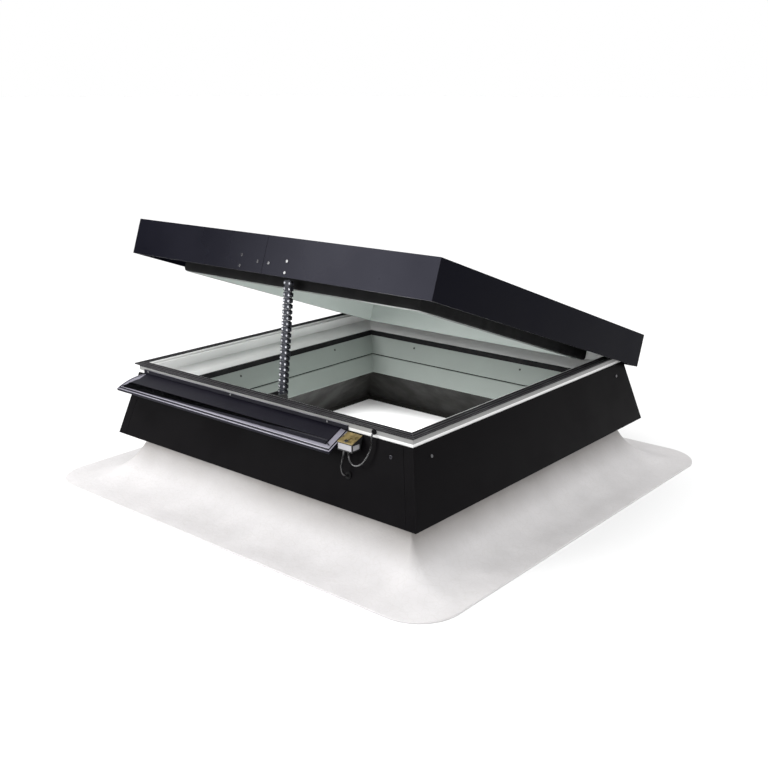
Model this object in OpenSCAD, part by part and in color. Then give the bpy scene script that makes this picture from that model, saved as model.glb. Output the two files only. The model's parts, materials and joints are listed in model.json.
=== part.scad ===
// Openable flat-roof skylight: a moulded kerb with a flared roof flange, black sheet
// cladding, a white frame with gaskets and a glazed lid that a concealed chain drive lifts.
// Origin: centre of the flange's underside, +Z up, hinges at the back (+Y).

/* [Kerb] */
// Overall width of the square roof flange
flange_w = 1267; // [1220:1:1600]
// Corner radius of the roof flange
flange_corner_r = 100; // [40:1:160]
// Thickness of the moulded kerb skin
skin_t = 4; // [3:0.5:8]
// Width of the flat outer strip of the flange
flange_flat = 43.5; // [30:0.5:90]
// Radius of the flare between flange and wall
flare_r = 150; // [100:1:160]
// Steepest slope of the flare
flare_angle = 62; // [50:1:70]
// Outer width of the upright kerb wall
wall_w = 848; // [840:1:860]
// Height of the top of the moulded kerb
kerb_top_z = 255; // [240:1:320]
// Clear width of the kerb mouth at roof level
mouth_w = 904; // [800:1:960]
// Height of the plain foot below the mouth's slope
mouth_foot = 14; // [8:1:30]

/* [Lining] */
// Clear width between the linings at their top edge
lining_top_w = 736; // [700:1:750]
// Clear width between the linings at their bottom edge
lining_bottom_w = 636; // [560:1:700]
// Height of the lining's bottom edge
lining_bottom_z = 146; // [120:1:160]
// Height of the joint between lower and upper lining
lining_joint_z = 196; // [180:1:215]
// Height of the lining's top edge
lining_top_z = 248; // [240:1:300]
// Thickness of a lining board
lining_t = 11; // [6:1:14]
// Height of the joint between the boards
lining_joint_h = 3; // [2:0.5:6]

/* [Frame] */
// Outer width of the fixed frame
frame_w = 908; // [900:1:940]
// Height of the top of the fixed frame
frame_top_z = 305; // [295:1:360]
// Width of the rim's flat top
rim_t = 29; // [20:1:40]
// Depth from the rim's top to the inner ledge
ledge_drop = 24; // [18:1:30]
// Width of the inner ledge
ledge_w = 30; // [24:1:34]
// Fall of the inner ledge
ledge_fall = 10; // [4:1:14]
// Height of the rim gasket
gasket_h = 6; // [4:0.5:9]
// Overhang of the rim gasket beyond the frame
gasket_over = 9; // [4:0.5:12]
// Width of the white rim left showing inside the gasket
rim_show = 8; // [4:0.5:12]

/* [Cladding] */
// Width of the cladding at its bottom edge
clad_bottom_w = 1000; // [960:1:1100]
// Height of the cladding's bottom edge
clad_bottom_z = 122; // [100:1:140]
// Height of the cladding's top edge
clad_top_z = 285; // [275:1:290]
// Thickness of the cladding and lid sheet
sheet_t = 2; // [1.5:0.5:3]
// Depth of the hem along the cladding's bottom edge
hem_w = 14; // [8:1:20]
// Width of the side panels' returns round the corners
return_w = 27; // [15:1:45]
// Gap between neighbouring sheets
sheet_gap = 1; // [0.5:0.5:2]

/* [Lid] */
// Width of the lid
lid_w = 960; // [950:1:990]
// Front to back depth of the lid
lid_d = 981; // [975:1:1010]
// Height of the lid's skirt
lid_h = 89; // [85:1:120]
// Distance from the kerb's centre to the lid's front face
lid_front = 477.4; // [476:0.1:490]
// Height of the skirt's lower edge with the lid closed
lid_bottom_z = 278.2; // [277:0.1:284]
// Width of the top flange that holds the glass
lid_flange = 58; // [50:1:75]
// Angle that the lid stands open in the modelled pose
open_angle = 19.4; // [0:0.1:19.4]
// Offset of the sheet joint from the lid's middle
seam_x = -8; // [-60:1:60]
// Clearance between the closed sash and the rim gasket
close_gap = 0.3; // [0.2:0.1:1]

/* [Glass] */
// Thickness of each pane
pane_t = 6; // [4:1:8]
// Gap between the panes
pane_gap = 16; // [10:1:18]
// Half width of the glass unit
glass_half = 440; // [430:1:445]

/* [Hinges] */
// Distance of the hinge axis behind the centre
hinge_y = 462; // [460:0.5:466]
// Height of the hinge axis
hinge_z = 300; // [296:0.5:301]
// Distance of each hinge from the middle
hinge_x = 300; // [150:1:380]
// Width of a hinge
hinge_w = 80; // [60:1:110]
// Radius of the hinge pin
pin_r = 2.5; // [2:0.25:3]
// Running clearance round the hinge pin
pin_clear = 0.05; // [0.02:0.01:0.1]

/* [Chain drive] */
// Sideways place of the chain
chain_x = 16; // [-60:1:60]
// Distance of the chain's outlet in front of the centre
chain_y = 404; // [400:0.5:406]
// Pitch of the chain
chain_pitch = 13.5; // [12:0.5:15]
// Width of a chain plate
plate_w = 23; // [20:1:26]
// Number of teeth on the sprocket
sprocket_teeth = 8; // [7:1:9]
// Length of the drive housing
drive_l = 380; // [340:1:420]

/* [Front hood] */
// Left end of the hood at its front edge
hood_left = 470; // [440:1:480]
// Right end of the hood
hood_right = 276; // [200:1:290]
// Distance from the centre to the hood's front face
hood_front = 517; // [510:1:540]
// Height of the hood's lip
hood_lip = 9; // [6:1:14]

/* [Hidden] */
big = 2000;
fit_gap = 0.2;

// Kerb
flange_half = flange_w / 2;
wall_half = wall_w / 2;
flare_x = flange_half - flange_flat;
flare_end_x = flare_x - flare_r * sin(flare_angle);
flare_end_z = skin_t + flare_r * (1 - cos(flare_angle));
flare_foot_z = flare_end_z + (flare_end_x - wall_half) * tan(flare_angle);
lining_run = (lining_top_w - lining_bottom_w) / 2;
lining_slope = lining_run / (lining_top_z - lining_bottom_z);
lining_angle = atan(lining_slope);
lining_screw_x = 190;
lining_screw_l = lining_t * cos(lining_angle) - 2;
mouth_half = mouth_w / 2;

// Frame
frame_half = frame_w / 2;
rim_in = frame_half - rim_t;
ledge_z = frame_top_z - ledge_drop;
ledge_in = rim_in - ledge_w;
ledge_low = ledge_z - ledge_fall;
seal_h = kerb_top_z + 6 - lining_top_z;
seal_top_z = lining_top_z + seal_h;
gasket_top = frame_top_z + gasket_h;
gasket_out = frame_half + gasket_over;

// Cladding: the sheet leans from its wide foot to the frame's wall
clad_half = clad_bottom_w / 2;
clad_top_half = frame_half + fit_gap + sheet_t;
clad_slope = (clad_half - clad_top_half) / (clad_top_z - clad_bottom_z);
clad_angle = atan(clad_slope);
clad_screw_z = clad_top_z - 29;
clad_screw_in = 52;

// Lid, given in its closed place
lid_half = lid_w / 2;
lid_back = lid_d - lid_front;
lid_top_z = lid_bottom_z + lid_h;
sash_z = gasket_top + close_gap;
sash_out = lid_half - 10;
lip_out = 378;
lip_in = 360;
lip_z = seal_top_z + 1;
sash_seal_t = 6;
glass_z = sash_z + 18.7;
rebate_gap = 3;
glass_top = glass_z + 2 * pane_t + pane_gap;
carrier_z = sash_z + 24;
carrier_h = 20;
splice_t = 2;
rivet_r = 2;
rivet_head_r = 3.6;
// Rivets of the front sheet joint: distance from the joint, height above the skirt's edge
rivet_places = [[-74, 36], [-74, 10], [-18, 26], [18, 26], [74, 36], [74, 10]];

// Chain drive
drive_wall = 2;
drive_depth = 30;
drive_h = 70;
drive_x0 = chain_x - 130;
drive_top = kerb_top_z - skin_t - 1;
slot_w = plate_w + 4;
slot_d = 22;
slot_back = 4;
plate_t = 1.5;
plate_gap = 8;
chain_pin_r = 2;
chain_foot_z = drive_top - 22;
pin_row = 7.5;
sprocket_pitch_r = chain_pitch / (2 * sin(180 / sprocket_teeth));
sprocket_x = chain_x + pin_row + sprocket_pitch_r;
sprocket_t = 5;
shaft_r = 4;
shaft_clear = 0.1;
bracket_y = -412;
bracket_z = ledge_z + 13;
open_y = hinge_y + (bracket_y - hinge_y) * cos(open_angle) + (bracket_z - hinge_z) * sin(open_angle);
open_z = hinge_z - (bracket_y - hinge_y) * sin(open_angle) + (bracket_z - hinge_z) * cos(open_angle);
chain_dy = open_y + chain_y;
chain_dz = open_z - chain_foot_z;
chain_lean = atan(chain_dy / chain_dz);
chain_len = sqrt(chain_dy * chain_dy + chain_dz * chain_dz);
link_count = floor((chain_len - 4) / chain_pitch);

// Hinges
knuckle_r = 4.7;
leaf_t = 2.5;
leaf_top = hinge_z + 2;
leaf_low = clad_top_z + 1;
knuckle_gap = 0.5;
knuckle_third = hinge_w / 3;
strap_z = hinge_z - knuckle_r;

// Front hood, as distances in front of the centre
hood_back = frame_half + 0.3;
hood_back_z = clad_top_z + 2;
hood_edge_y = hood_front - 12;
hood_edge_z = hood_back_z - 25;
hood_lip_z = hood_edge_z - 7;
hood_low = hood_lip_z - hood_lip;
hood_flange_z = hood_back_z + 10;
box_left = hood_right + 2;
box_right = box_left + 42;
box_front = 492;
box_back = hood_back + 4;
box_low = 252;
box_front_z = 270;
box_back_z = 282;
label_t = 0.4;
terminal_screw_y = 486;

// Cable routes, chosen by hand
motor_cable_r = 2;
supply_cable_r = 2.5;
grommet_x = 350;
grommet_z = 297;
motor_cable_route = [[304, -484, 252], [305, -486, 243], [310, -489, 234], [318, -490, 227],
    [328, -490, 225], [338, -487, 229], [346, -483, 238], [352, -477, 252], [355, -471, 268],
    [354, -467, 281], [352, -465, 290], [351, -461, 295.5], [350, -457, 297], [350, -454.5, 297]];
supply_cable_route = [[290, -484, 252], [290, -486, 240], [290, -490, 228], [291, -494, 217],
    [293, -495, 207], [296, -494, 200], [298, -490, 196.8], [299, -486, 195.4], [299, -481.6, 194.3]];
supply_gland_x = 299;
supply_gland_z = 194;

// ---- Shared shapes ----

// One side of a square or rectangular ring, mitred at both ends.
// profile: points as [inset from the outer edge, height]
module ring_side(length, depth, profile) {
    intersection() {
        translate([-length / 2, -depth / 2, 0])
            rotate([90, 0, 90])
                linear_extrude(length)
                    polygon(profile);
        translate([0, 0, -big / 2])
            linear_extrude(big)
                polygon([[-length / 2, -depth / 2], [length / 2, -depth / 2],
                    [length / 2 - depth / 2, 0], [depth / 2 - length / 2, 0]]);
    }
}

module ring_end(length, depth, profile) {
    intersection() {
        translate([-length / 2, depth / 2, 0])
            rotate([90, 0, 0])
                linear_extrude(depth)
                    polygon(profile);
        translate([0, 0, -big / 2])
            linear_extrude(big)
                polygon([[-length / 2, -depth / 2], [-length / 2, depth / 2],
                    [-length / 2 + depth / 2, 0]]);
    }
}

// Square ring about the origin: profile points as [half width, height]
module square_ring(half, profile) {
    inset = [for (p = profile) [half - p[0], p[1]]];
    for (turn = [0:3])
        rotate([0, 0, 90 * turn])
            ring_side(2 * half, 2 * half, inset);
}

module square_ring_front(half, profile) {
    ring_side(2 * half, 2 * half, [for (p = profile) [half - p[0], p[1]]]);
}

// A plain rectangular frame between two outlines
module plain_frame(x0, x1, y0, y1, z0, z1, hole_half) {
    difference() {
        translate([x0, y0, z0])
            cube([x1 - x0, y1 - y0, z1 - z0]);
        translate([-hole_half, -hole_half, z0 - 1])
            cube([2 * hole_half, 2 * hole_half, z1 - z0 + 2]);
    }
}

// Puts what is drawn closed into the open pose
module open_lid() {
    translate([0, hinge_y, hinge_z])
        rotate([-open_angle, 0, 0])
            translate([0, -hinge_y, -hinge_z])
                children();
}

// A round tube swept along points, with flat ends
module swept_tube(points, radius, sides = 8) {
    count = len(points);
    function unit(v) = v / norm(v);
    function heading(i) = unit(points[min(i + 1, count - 1)] - points[max(i - 1, 0)]);
    function side_axis(i) = unit(cross(heading(i), [1, 0.2, 0.1]));
    function up_axis(i) = cross(heading(i), side_axis(i));
    rings = [for (i = [0:count - 1]) for (k = [0:sides - 1])
        points[i] + radius * (cos(360 * k / sides) * side_axis(i) + sin(360 * k / sides) * up_axis(i))];
    walls = [for (i = [0:count - 2]) for (k = [0:sides - 1])
        [i * sides + k, i * sides + (k + 1) % sides, (i + 1) * sides + (k + 1) % sides, (i + 1) * sides + k]];
    ends = [[for (k = [sides - 1:-1:0]) k], [for (k = [0:sides - 1]) (count - 1) * sides + k]];
    polyhedron(rings, concat(walls, ends), convexity = 6);
}

// Half width of the lining's clear face at a height
function lining_face(z) = lining_bottom_w / 2 + (z - lining_bottom_z) * lining_slope;
// Half width of the cladding's outer face at a height
function clad_face(z) = clad_top_half + (clad_top_z - z) * clad_slope;

// ---- Kerb ----

module kerb_profile() {
    steps = 12;
    in_top = lining_face(kerb_top_z) + lining_t + fit_gap;
    in_low = lining_face(lining_bottom_z) + lining_t + fit_gap;
    outer = concat(
        [[flange_half, 0], [flange_half, skin_t]],
        [for (i = [0:steps]) let (a = flare_angle * i / steps)
            [flare_x - flare_r * sin(a), skin_t + flare_r * (1 - cos(a))]],
        [[wall_half, flare_foot_z], [wall_half, kerb_top_z]]);
    inner_wall = [[in_top, kerb_top_z], [in_low, lining_bottom_z], [mouth_half, mouth_foot],
        [mouth_half, 0], [mouth_half + skin_t, 0], [mouth_half + skin_t, mouth_foot + skin_t],
        [in_low + 2 * skin_t, lining_bottom_z + skin_t], [in_top + skin_t, kerb_top_z - skin_t]];
    under = concat(
        [[wall_half - skin_t, kerb_top_z - skin_t],
         [wall_half - skin_t, flare_foot_z]],
        [for (i = [steps:-1:0]) let (a = flare_angle * i / steps)
            [flare_x - (flare_r + skin_t) * sin(a), skin_t + flare_r - (flare_r + skin_t) * cos(a)]]);
    polygon(concat(outer, inner_wall, under));
}

module kerb_upstand() {
    color("gainsboro")
        difference() {
            intersection() {
                for (turn = [0:3])
                    rotate([0, 0, 90 * turn])
                        intersection() {
                            translate([-flange_half, 0, 0])
                                rotate([90, 0, 90])
                                    linear_extrude(flange_w)
                                        mirror([1, 0])
                                            kerb_profile();
                            translate([0, 0, -1])
                                linear_extrude(big)
                                    polygon([[0, 0], [-flange_half, -flange_half], [flange_half, -flange_half]]);
                        }
                translate([0, 0, -1])
                    linear_extrude(big)
                        rounded_square(flange_w, flange_corner_r);
            }
            chain_slot(kerb_top_z - skin_t - 1, kerb_top_z + 1);
        }
}

module rounded_square(width, radius) {
    square([width, width - 2 * radius], center = true);
    square([width - 2 * radius, width], center = true);
    for (x = [-1, 1])
        for (y = [-1, 1])
            translate([x * (width / 2 - radius), y * (width / 2 - radius)])
                circle(radius, $fn = 96);
}

// The vertical way that the chain runs through
module chain_slot(z0, z1) {
    translate([chain_x - slot_w / 2, -chain_y - slot_d / 2 + slot_back, z0])
        cube([slot_w, slot_d, z1 - z0]);
}

module kerb_core() {
    gap = skin_t + 0.3;
    in_top = lining_face(kerb_top_z) + lining_t + fit_gap + gap;
    in_low = lining_face(lining_bottom_z) + lining_t + fit_gap + 3 * gap;
    out = wall_half - gap;
    low_z = lining_bottom_z + 8;
    color("palegoldenrod")
        difference() {
            square_ring(out, [[out, low_z], [out, kerb_top_z - gap], [in_top, kerb_top_z - gap],
                [in_low, low_z]]);
            translate([drive_x0 - 3, -out - 1, drive_top - drive_h - 1])
                cube([drive_l + 6, out - in_low + 20, drive_h + 20]);
        }
}

module outer_insulation() {
    top = kerb_top_z - 1;
    low = clad_bottom_z + sheet_t + 0.3;
    skin = sheet_t / cos(clad_angle) + 0.3;
    flare_clear = flare_foot_z + 4;
    color("silver")
        difference() {
            square_ring(clad_half, [[wall_half + 0.3, flare_clear], [wall_half + 0.3, top],
                [clad_face(top) - skin, top], [clad_face(low) - skin, low],
                [wall_half + 0.3 + (flare_clear - low) / tan(flare_angle), low]]);
            translate([supply_gland_x, -wall_half - 20, supply_gland_z])
                rotate([90, 0, 0])
                    cylinder(r = 9, h = 80, $fn = 32);
        }
}

// ---- Lining ----

module lining_ring(z0, z1) {
    square_ring(wall_half, [[lining_face(z0), z0], [lining_face(z0) + lining_t, z0],
        [lining_face(z1) + lining_t, z1], [lining_face(z1), z1]]);
}

module lining_lower() {
    color("honeydew")
        lining_ring(lining_bottom_z, lining_joint_z - lining_joint_h / 2);
}

module lining_upper() {
    color("honeydew")
        difference() {
            lining_ring(lining_joint_z + lining_joint_h / 2, lining_top_z);
            at_lining_screws()
                translate([0, 0, -1])
                    cylinder(r = 1.6, h = lining_screw_l + 2, $fn = 24);
        }
}

module lining_joint_seal() {
    z0 = lining_joint_z - lining_joint_h / 2;
    z1 = lining_joint_z + lining_joint_h / 2;
    color("black")
        square_ring(wall_half, [[lining_face(z0) + 2, z0], [lining_face(z0) + lining_t, z0],
            [lining_face(z1) + lining_t, z1], [lining_face(z1) + 2, z1]]);
}

// Places children on the upper lining's face, +Z running into the board
module at_lining_screws() {
    z = (lining_joint_z + lining_top_z) / 2 + 12;
    for (turn = [0:3])
        rotate([0, 0, 90 * turn])
            for (x = [-lining_screw_x, lining_screw_x])
                translate([x, -lining_face(z), z])
                    rotate([90 + lining_angle, 0, 0])
                        children();
}

module lining_screws() {
    color("dimgray")
        at_lining_screws() {
            translate([0, 0, -1.6])
                cylinder(r = 3, h = 1.6, $fn = 24);
            cylinder(r = 1.5, h = lining_screw_l, $fn = 24);
        }
}

module inner_seal() {
    color("black")
        difference() {
            square_ring(wall_half, [[lining_face(lining_top_z), lining_top_z],
                [lining_face(lining_top_z) + lining_t, lining_top_z],
                [lining_face(lining_top_z) + lining_t, seal_top_z],
                [lining_face(lining_top_z) + 2, seal_top_z]]);
            chain_slot(lining_top_z - 1, seal_top_z + 1);
        }
}

// ---- Frame ----

module fixed_frame() {
    seal_out = lining_face(lining_top_z) + lining_t + fit_gap;
    color("white")
        difference() {
            square_ring(frame_half, [[frame_half, kerb_top_z], [frame_half, frame_top_z],
                [rim_in, frame_top_z], [rim_in, ledge_z], [ledge_in, ledge_low],
                [seal_out, seal_top_z], [seal_out, kerb_top_z]]);
            chain_slot(kerb_top_z - 1, frame_top_z + 1);
            translate([grommet_x, -frame_half + 12, grommet_z])
                rotate([90, 0, 0])
                    cylinder(r = 4, h = 14, $fn = 32);
            hinge_screw_set(1.6);
        }
}

module rim_gasket() {
    rib = gasket_h / 3;
    out = gasket_out;
    in = rim_in + rim_show;
    step = (out - in) / 6;
    color("black")
        difference() {
            square_ring(gasket_out, [[frame_half, frame_top_z], [out, frame_top_z + rib],
                [out, gasket_top - rib / 2], [out - step, gasket_top], [out - 2 * step, gasket_top - rib],
                [out - 3 * step, gasket_top], [out - 4 * step, gasket_top - rib],
                [out - 5 * step, gasket_top], [in, gasket_top - rib], [in, frame_top_z]]);
            for (x = [-hinge_x, hinge_x])
                translate([x - hinge_w / 2 - 2, frame_half + 0.5, frame_top_z - 1])
                    cube([hinge_w + 4, gasket_over + 4, gasket_h + 4]);
        }
}

// ---- Cladding ----

module clad_front_side() {
    skin = sheet_t / cos(clad_angle);
    square_ring_front(clad_half, [[clad_half, clad_bottom_z], [clad_top_half, clad_top_z],
        [clad_top_half - skin, clad_top_z], [clad_face(clad_bottom_z + sheet_t) - skin, clad_bottom_z + sheet_t],
        [clad_half - hem_w, clad_bottom_z + sheet_t], [clad_half - hem_w, clad_bottom_z]]);
}

// Front view of the panel between the corner returns
module clad_mask(grow) {
    rotate([90, 0, 0])
        linear_extrude(clad_half + 1)
            polygon([[-clad_half + return_w - grow, clad_bottom_z - 1],
                [clad_half - return_w + grow, clad_bottom_z - 1],
                [clad_top_half - return_w + grow, clad_top_z + 1],
                [-clad_top_half + return_w - grow, clad_top_z + 1]]);
}

module cladding_plain() {
    difference() {
        intersection() {
            clad_front_side();
            clad_mask(0);
        }
        clad_screw_set(2.1);
    }
}

module cladding_front() {
    color("black")
        difference() {
            cladding_plain();
            translate([supply_gland_x, -clad_half + 60, supply_gland_z])
                rotate([90, 0, 0])
                    cylinder(r = 5, h = 60, $fn = 32);
            hood_screw_set(1.6);
        }
}

module cladding_back() {
    color("black")
        rotate([0, 0, 180])
            cladding_plain();
}

module cladding_wrapped() {
    difference() {
        union() {
            rotate([0, 0, 90])
                clad_front_side();
            for (turn = [0, 180])
                rotate([0, 0, turn])
                    difference() {
                        intersection() {
                            clad_front_side();
                            translate([turn == 0 ? 0 : -big, -big, 0])
                                cube([big, big, big]);
                        }
                        clad_mask(sheet_gap);
                    }
        }
        rotate([0, 0, 90])
            clad_screw_set(2.1);
    }
}

module cladding_right() {
    color("black")
        cladding_wrapped();
}

module cladding_left() {
    color("black")
        rotate([0, 0, 180])
            cladding_wrapped();
}

// Screw shanks through a front panel, square to the sheet
module clad_screw_set(radius) {
    for (x = [-1, 1])
        translate([x * (clad_top_half - clad_screw_in), -clad_face(clad_screw_z), clad_screw_z])
            rotate([90 - clad_angle, 0, 0])
                translate([0, 0, -8])
                    cylinder(r = radius, h = 12, $fn = 24);
}

module cladding_screws() {
    color("dimgray")
        for (turn = [0:3])
            rotate([0, 0, 90 * turn])
                for (x = [-1, 1])
                    translate([x * (clad_top_half - clad_screw_in), -clad_face(clad_screw_z), clad_screw_z])
                        rotate([90 - clad_angle, 0, 0]) {
                            cylinder(r = 4, h = 1.8, $fn = 32);
                            translate([0, 0, -2.2])
                                cylinder(r = 2, h = 2.3, $fn = 24);
                        }
}

// ---- Chain drive in the kerb's front wall ----

module drive_housing() {
    color("silver")
        difference() {
            translate([drive_x0, -chain_y - drive_depth / 2 + 1, drive_top - drive_h])
                cube([drive_l, drive_depth, drive_h]);
            translate([drive_x0 - 1, -chain_y - drive_depth / 2 + 1 + drive_wall, drive_top - drive_h + drive_wall])
                cube([drive_l + 2, drive_depth - 2 * drive_wall, drive_h - 2 * drive_wall]);
            chain_slot(drive_top - drive_wall - 1, drive_top + 1);
            shaft_hole(shaft_r + shaft_clear);
        }
}

module shaft_hole(radius) {
    translate([sprocket_x, -chain_y + drive_depth, chain_foot_z])
        rotate([90, 0, 0])
            cylinder(r = radius, h = 2 * drive_depth, $fn = 48);
}

module drive_end_caps() {
    cap_t = 3;
    color("dimgray")
        for (x = [drive_x0 - cap_t, drive_x0 + drive_l])
            translate([x, -chain_y - drive_depth / 2 + 1, drive_top - drive_h])
                cube([cap_t, drive_depth, drive_h]);
}

module drive_motor() {
    motor_r = 12.5;
    color("gray")
        translate([drive_x0 + drive_l - 150, -chain_y + 1, drive_top - drive_h + drive_wall + motor_r + 0.3])
            rotate([0, 90, 0])
                cylinder(r = motor_r, h = 149, $fn = 64);
}

module drive_gearbox() {
    color("gray")
        translate([drive_x0 + drive_l - 196, -chain_y - 11.7, drive_top - drive_h + drive_wall + 0.3])
            cube([46, 25.4, 40]);
}

module sprocket() {
    notch_r = chain_pin_r + 0.6;
    color("silver")
        translate([sprocket_x, -chain_y, chain_foot_z])
            rotate([90, 0, 0]) {
                difference() {
                    translate([0, 0, -sprocket_t / 2])
                        cylinder(r = sprocket_pitch_r + 1.6, h = sprocket_t, $fn = 96);
                    for (k = [0:sprocket_teeth - 1])
                        rotate([0, 0, 180 + 360 * k / sprocket_teeth])
                            translate([sprocket_pitch_r, 0, -sprocket_t])
                                cylinder(r = notch_r, h = 2 * sprocket_t, $fn = 32);
                }
                translate([0, 0, -drive_depth / 2 - 1])
                    cylinder(r = shaft_r, h = drive_depth, $fn = 48);
            }
}

// Places children at each link, up the leaning chain
module along_chain() {
    translate([chain_x, -chain_y, chain_foot_z])
        rotate([-chain_lean, 0, 0])
            for (i = [0:link_count - 1])
                translate([0, 0, i * chain_pitch])
                    children();
}

module chain_plate_shape() {
    r = 4;
    difference() {
        union() {
            square([plate_w, chain_pitch - 0.6 - 2 * r + 4], center = true);
            square([plate_w - 2 * r, chain_pitch - 0.6], center = true);
        }
        for (x = [-pin_row, pin_row])
            translate([x, 0])
                circle(chain_pin_r, $fn = 24);
    }
}

module chain_plates() {
    color("slategray")
        along_chain()
            for (y = [-plate_gap / 2 - plate_t, plate_gap / 2])
                translate([0, y + plate_t, 0])
                    rotate([90, 0, 0])
                        linear_extrude(plate_t)
                            chain_plate_shape();
}

module chain_pins() {
    color("lightgray")
        along_chain()
            for (x = [-pin_row, pin_row])
                translate([x, (plate_gap / 2 + plate_t), 0])
                    rotate([90, 0, 0]) {
                        cylinder(r = chain_pin_r, h = plate_gap + 2 * plate_t, $fn = 24);
                        translate([0, 0, plate_gap + 2 * plate_t])
                            cylinder(r = chain_pin_r + 0.8, h = 1, $fn = 24);
                        translate([0, 0, -1])
                            cylinder(r = chain_pin_r + 0.8, h = 1, $fn = 24);
                    }
}

// Guide block on the inner ledge, its collar hooked over the rim's inner edge
module chain_guide() {
    wall = 3;
    z0 = ledge_z + 0.2;
    z1 = frame_top_z + 3;
    color("dimgray")
        difference() {
            translate([chain_x - slot_w / 2 - wall, -rim_in - rim_show + 0.5, z0])
                cube([slot_w + 2 * wall, 36, z1 - z0]);
            translate([chain_x - slot_w / 2 - wall - 1, -rim_in - rim_show - 1, z0 - 1])
                cube([slot_w + 2 * wall + 2, rim_show + 1.2, frame_top_z - z0 + 1.2]);
            translate([chain_x - slot_w / 2, -rim_in + 1, z0 - 1])
                cube([slot_w, rim_in, z1 - z0 + 2]);
        }
}

// ---- Front hood ----

module hood_solid_section() {
    polygon([[hood_back, hood_flange_z], [hood_back + sheet_t, hood_flange_z],
        [hood_back + sheet_t, hood_back_z], [hood_edge_y, hood_edge_z], [hood_front, hood_lip_z],
        [hood_front, hood_low], [clad_face(hood_low) + 1, hood_low], [clad_face(clad_top_z) + 1, clad_top_z],
        [clad_face(clad_top_z) + 1, clad_top_z + 0.6], [hood_back, clad_top_z + 0.6]]);
}

// Plan view of the hood; the left end sweeps out to its front corner
module hood_plan(inset) {
    polygon([[hood_right - inset, -hood_back + 1], [hood_right - inset, -hood_front - 1],
        [-hood_left + inset * 1.4, -hood_front - 1], [-hood_left + 4 + inset, -hood_front + 16],
        [-hood_left + 16 + inset, -hood_front + 38], [-hood_left + 36 + inset, -hood_back + 1]]);
}

module hood_block(inset) {
    intersection() {
        translate([-hood_left - 10, 0, 0])
            rotate([90, 0, 90])
                linear_extrude(hood_left + hood_right + 20)
                    mirror([1, 0])
                        hood_solid_section();
        translate([0, 0, -1])
            linear_extrude(big)
                hood_plan(inset);
    }
}

module hood() {
    color("midnightblue")
        difference() {
            hood_block(0);
            intersection() {
                translate([-hood_left - 10, 0, 0])
                    rotate([90, 0, 90])
                        linear_extrude(hood_left + hood_right + 20)
                            mirror([1, 0])
                                polygon([[hood_back + sheet_t, clad_top_z - 30], [hood_back + sheet_t, hood_back_z - sheet_t],
                                    [hood_edge_y - 1, hood_edge_z - sheet_t - 0.2], [hood_front - sheet_t, hood_lip_z - 1],
                                    [hood_front - sheet_t, hood_low - 5], [hood_back + sheet_t, hood_low - 5]]);
                translate([0, 0, -1])
                    linear_extrude(big)
                        hood_plan(sheet_t);
            }
        }
}

module hood_screw_set(radius) {
    for (x = [-hood_left + 55, -100, hood_right - 60])
        translate([x, -hood_back - sheet_t - 1, hood_flange_z - 4])
            rotate([-90, 0, 0])
                cylinder(r = radius, h = 6, $fn = 24);
}

module hood_screws() {
    color("dimgray")
        for (x = [-hood_left + 55, -100, hood_right - 60])
            translate([x, -hood_back - sheet_t, hood_flange_z - 4])
                rotate([90, 0, 0])
                    cylinder(r = 3, h = 1.4, $fn = 32);
}

module control_module() {
    front = hood_edge_y - 3;
    top = hood_edge_z - sheet_t - 2;
    back = clad_face(hood_low + 2) + 0.3;
    color("dimgray")
        translate([-60, -front, hood_low + 2])
            cube([200, front - back, top - hood_low - 2]);
}

// ---- Terminal box ----

module terminal_box() {
    back_low = clad_face(box_low) + 0.3;
    color("black")
        difference() {
            translate([box_left, 0, 0])
                rotate([90, 0, 90])
                    linear_extrude(box_right - box_left)
                        mirror([1, 0])
                            polygon([[back_low, box_low], [box_back, clad_top_z - 6], [box_back, box_back_z],
                                [box_front, box_front_z], [box_front, box_low]]);
            translate([304, -484, box_low - 1])
                cylinder(r = motor_cable_r + 0.2, h = 3, $fn = 24);
            translate([290, -484, box_low - 1])
                cylinder(r = supply_cable_r + 0.2, h = 3, $fn = 24);
        }
}

module terminal_plate() {
    plate = 1.6;
    color("khaki")
        difference() {
            translate([box_left, 0, 0])
                rotate([90, 0, 90])
                    linear_extrude(box_right - box_left)
                        mirror([1, 0])
                            polygon([[box_back, box_back_z], [box_back, box_back_z + plate],
                                [box_front, box_front_z + plate], [box_front, box_front_z]]);
            translate([(box_left + box_right) / 2, -terminal_screw_y, box_front_z - 2])
                cylinder(r = 2.2, h = 30, $fn = 32);
        }
}

module terminal_screw() {
    z = box_front_z + (box_front - terminal_screw_y) / (box_front - box_back) * (box_back_z - box_front_z);
    lean = atan((box_back_z - box_front_z) / (box_front - box_back));
    color("dimgray")
        translate([(box_left + box_right) / 2, -terminal_screw_y, z])
            rotate([lean, 0, 0])
                translate([0, 0, 1.7])
                    cylinder(r = 4.5, h = 1.6, $fn = 32);
}

module terminal_labels() {
    color("white") {
        translate([box_left + 2, -box_front - label_t, box_low + 3])
            cube([box_right - box_left - 4, label_t, 13]);
        translate([box_right, -box_front + 3, box_low + 4])
            cube([label_t, 20, 11]);
    }
}

// ---- Cables ----

module frame_grommet() {
    color("black")
        translate([grommet_x, -frame_half, grommet_z])
            rotate([90, 0, 0])
                difference() {
                    union() {
                        cylinder(r = 6, h = 3, $fn = 48);
                        translate([0, 0, -8])
                            cylinder(r = 3.9, h = 9, $fn = 48);
                    }
                    translate([0, 0, -0.5])
                        cylinder(r = motor_cable_r + 0.3, h = 5, $fn = 32);
                }
}

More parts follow.
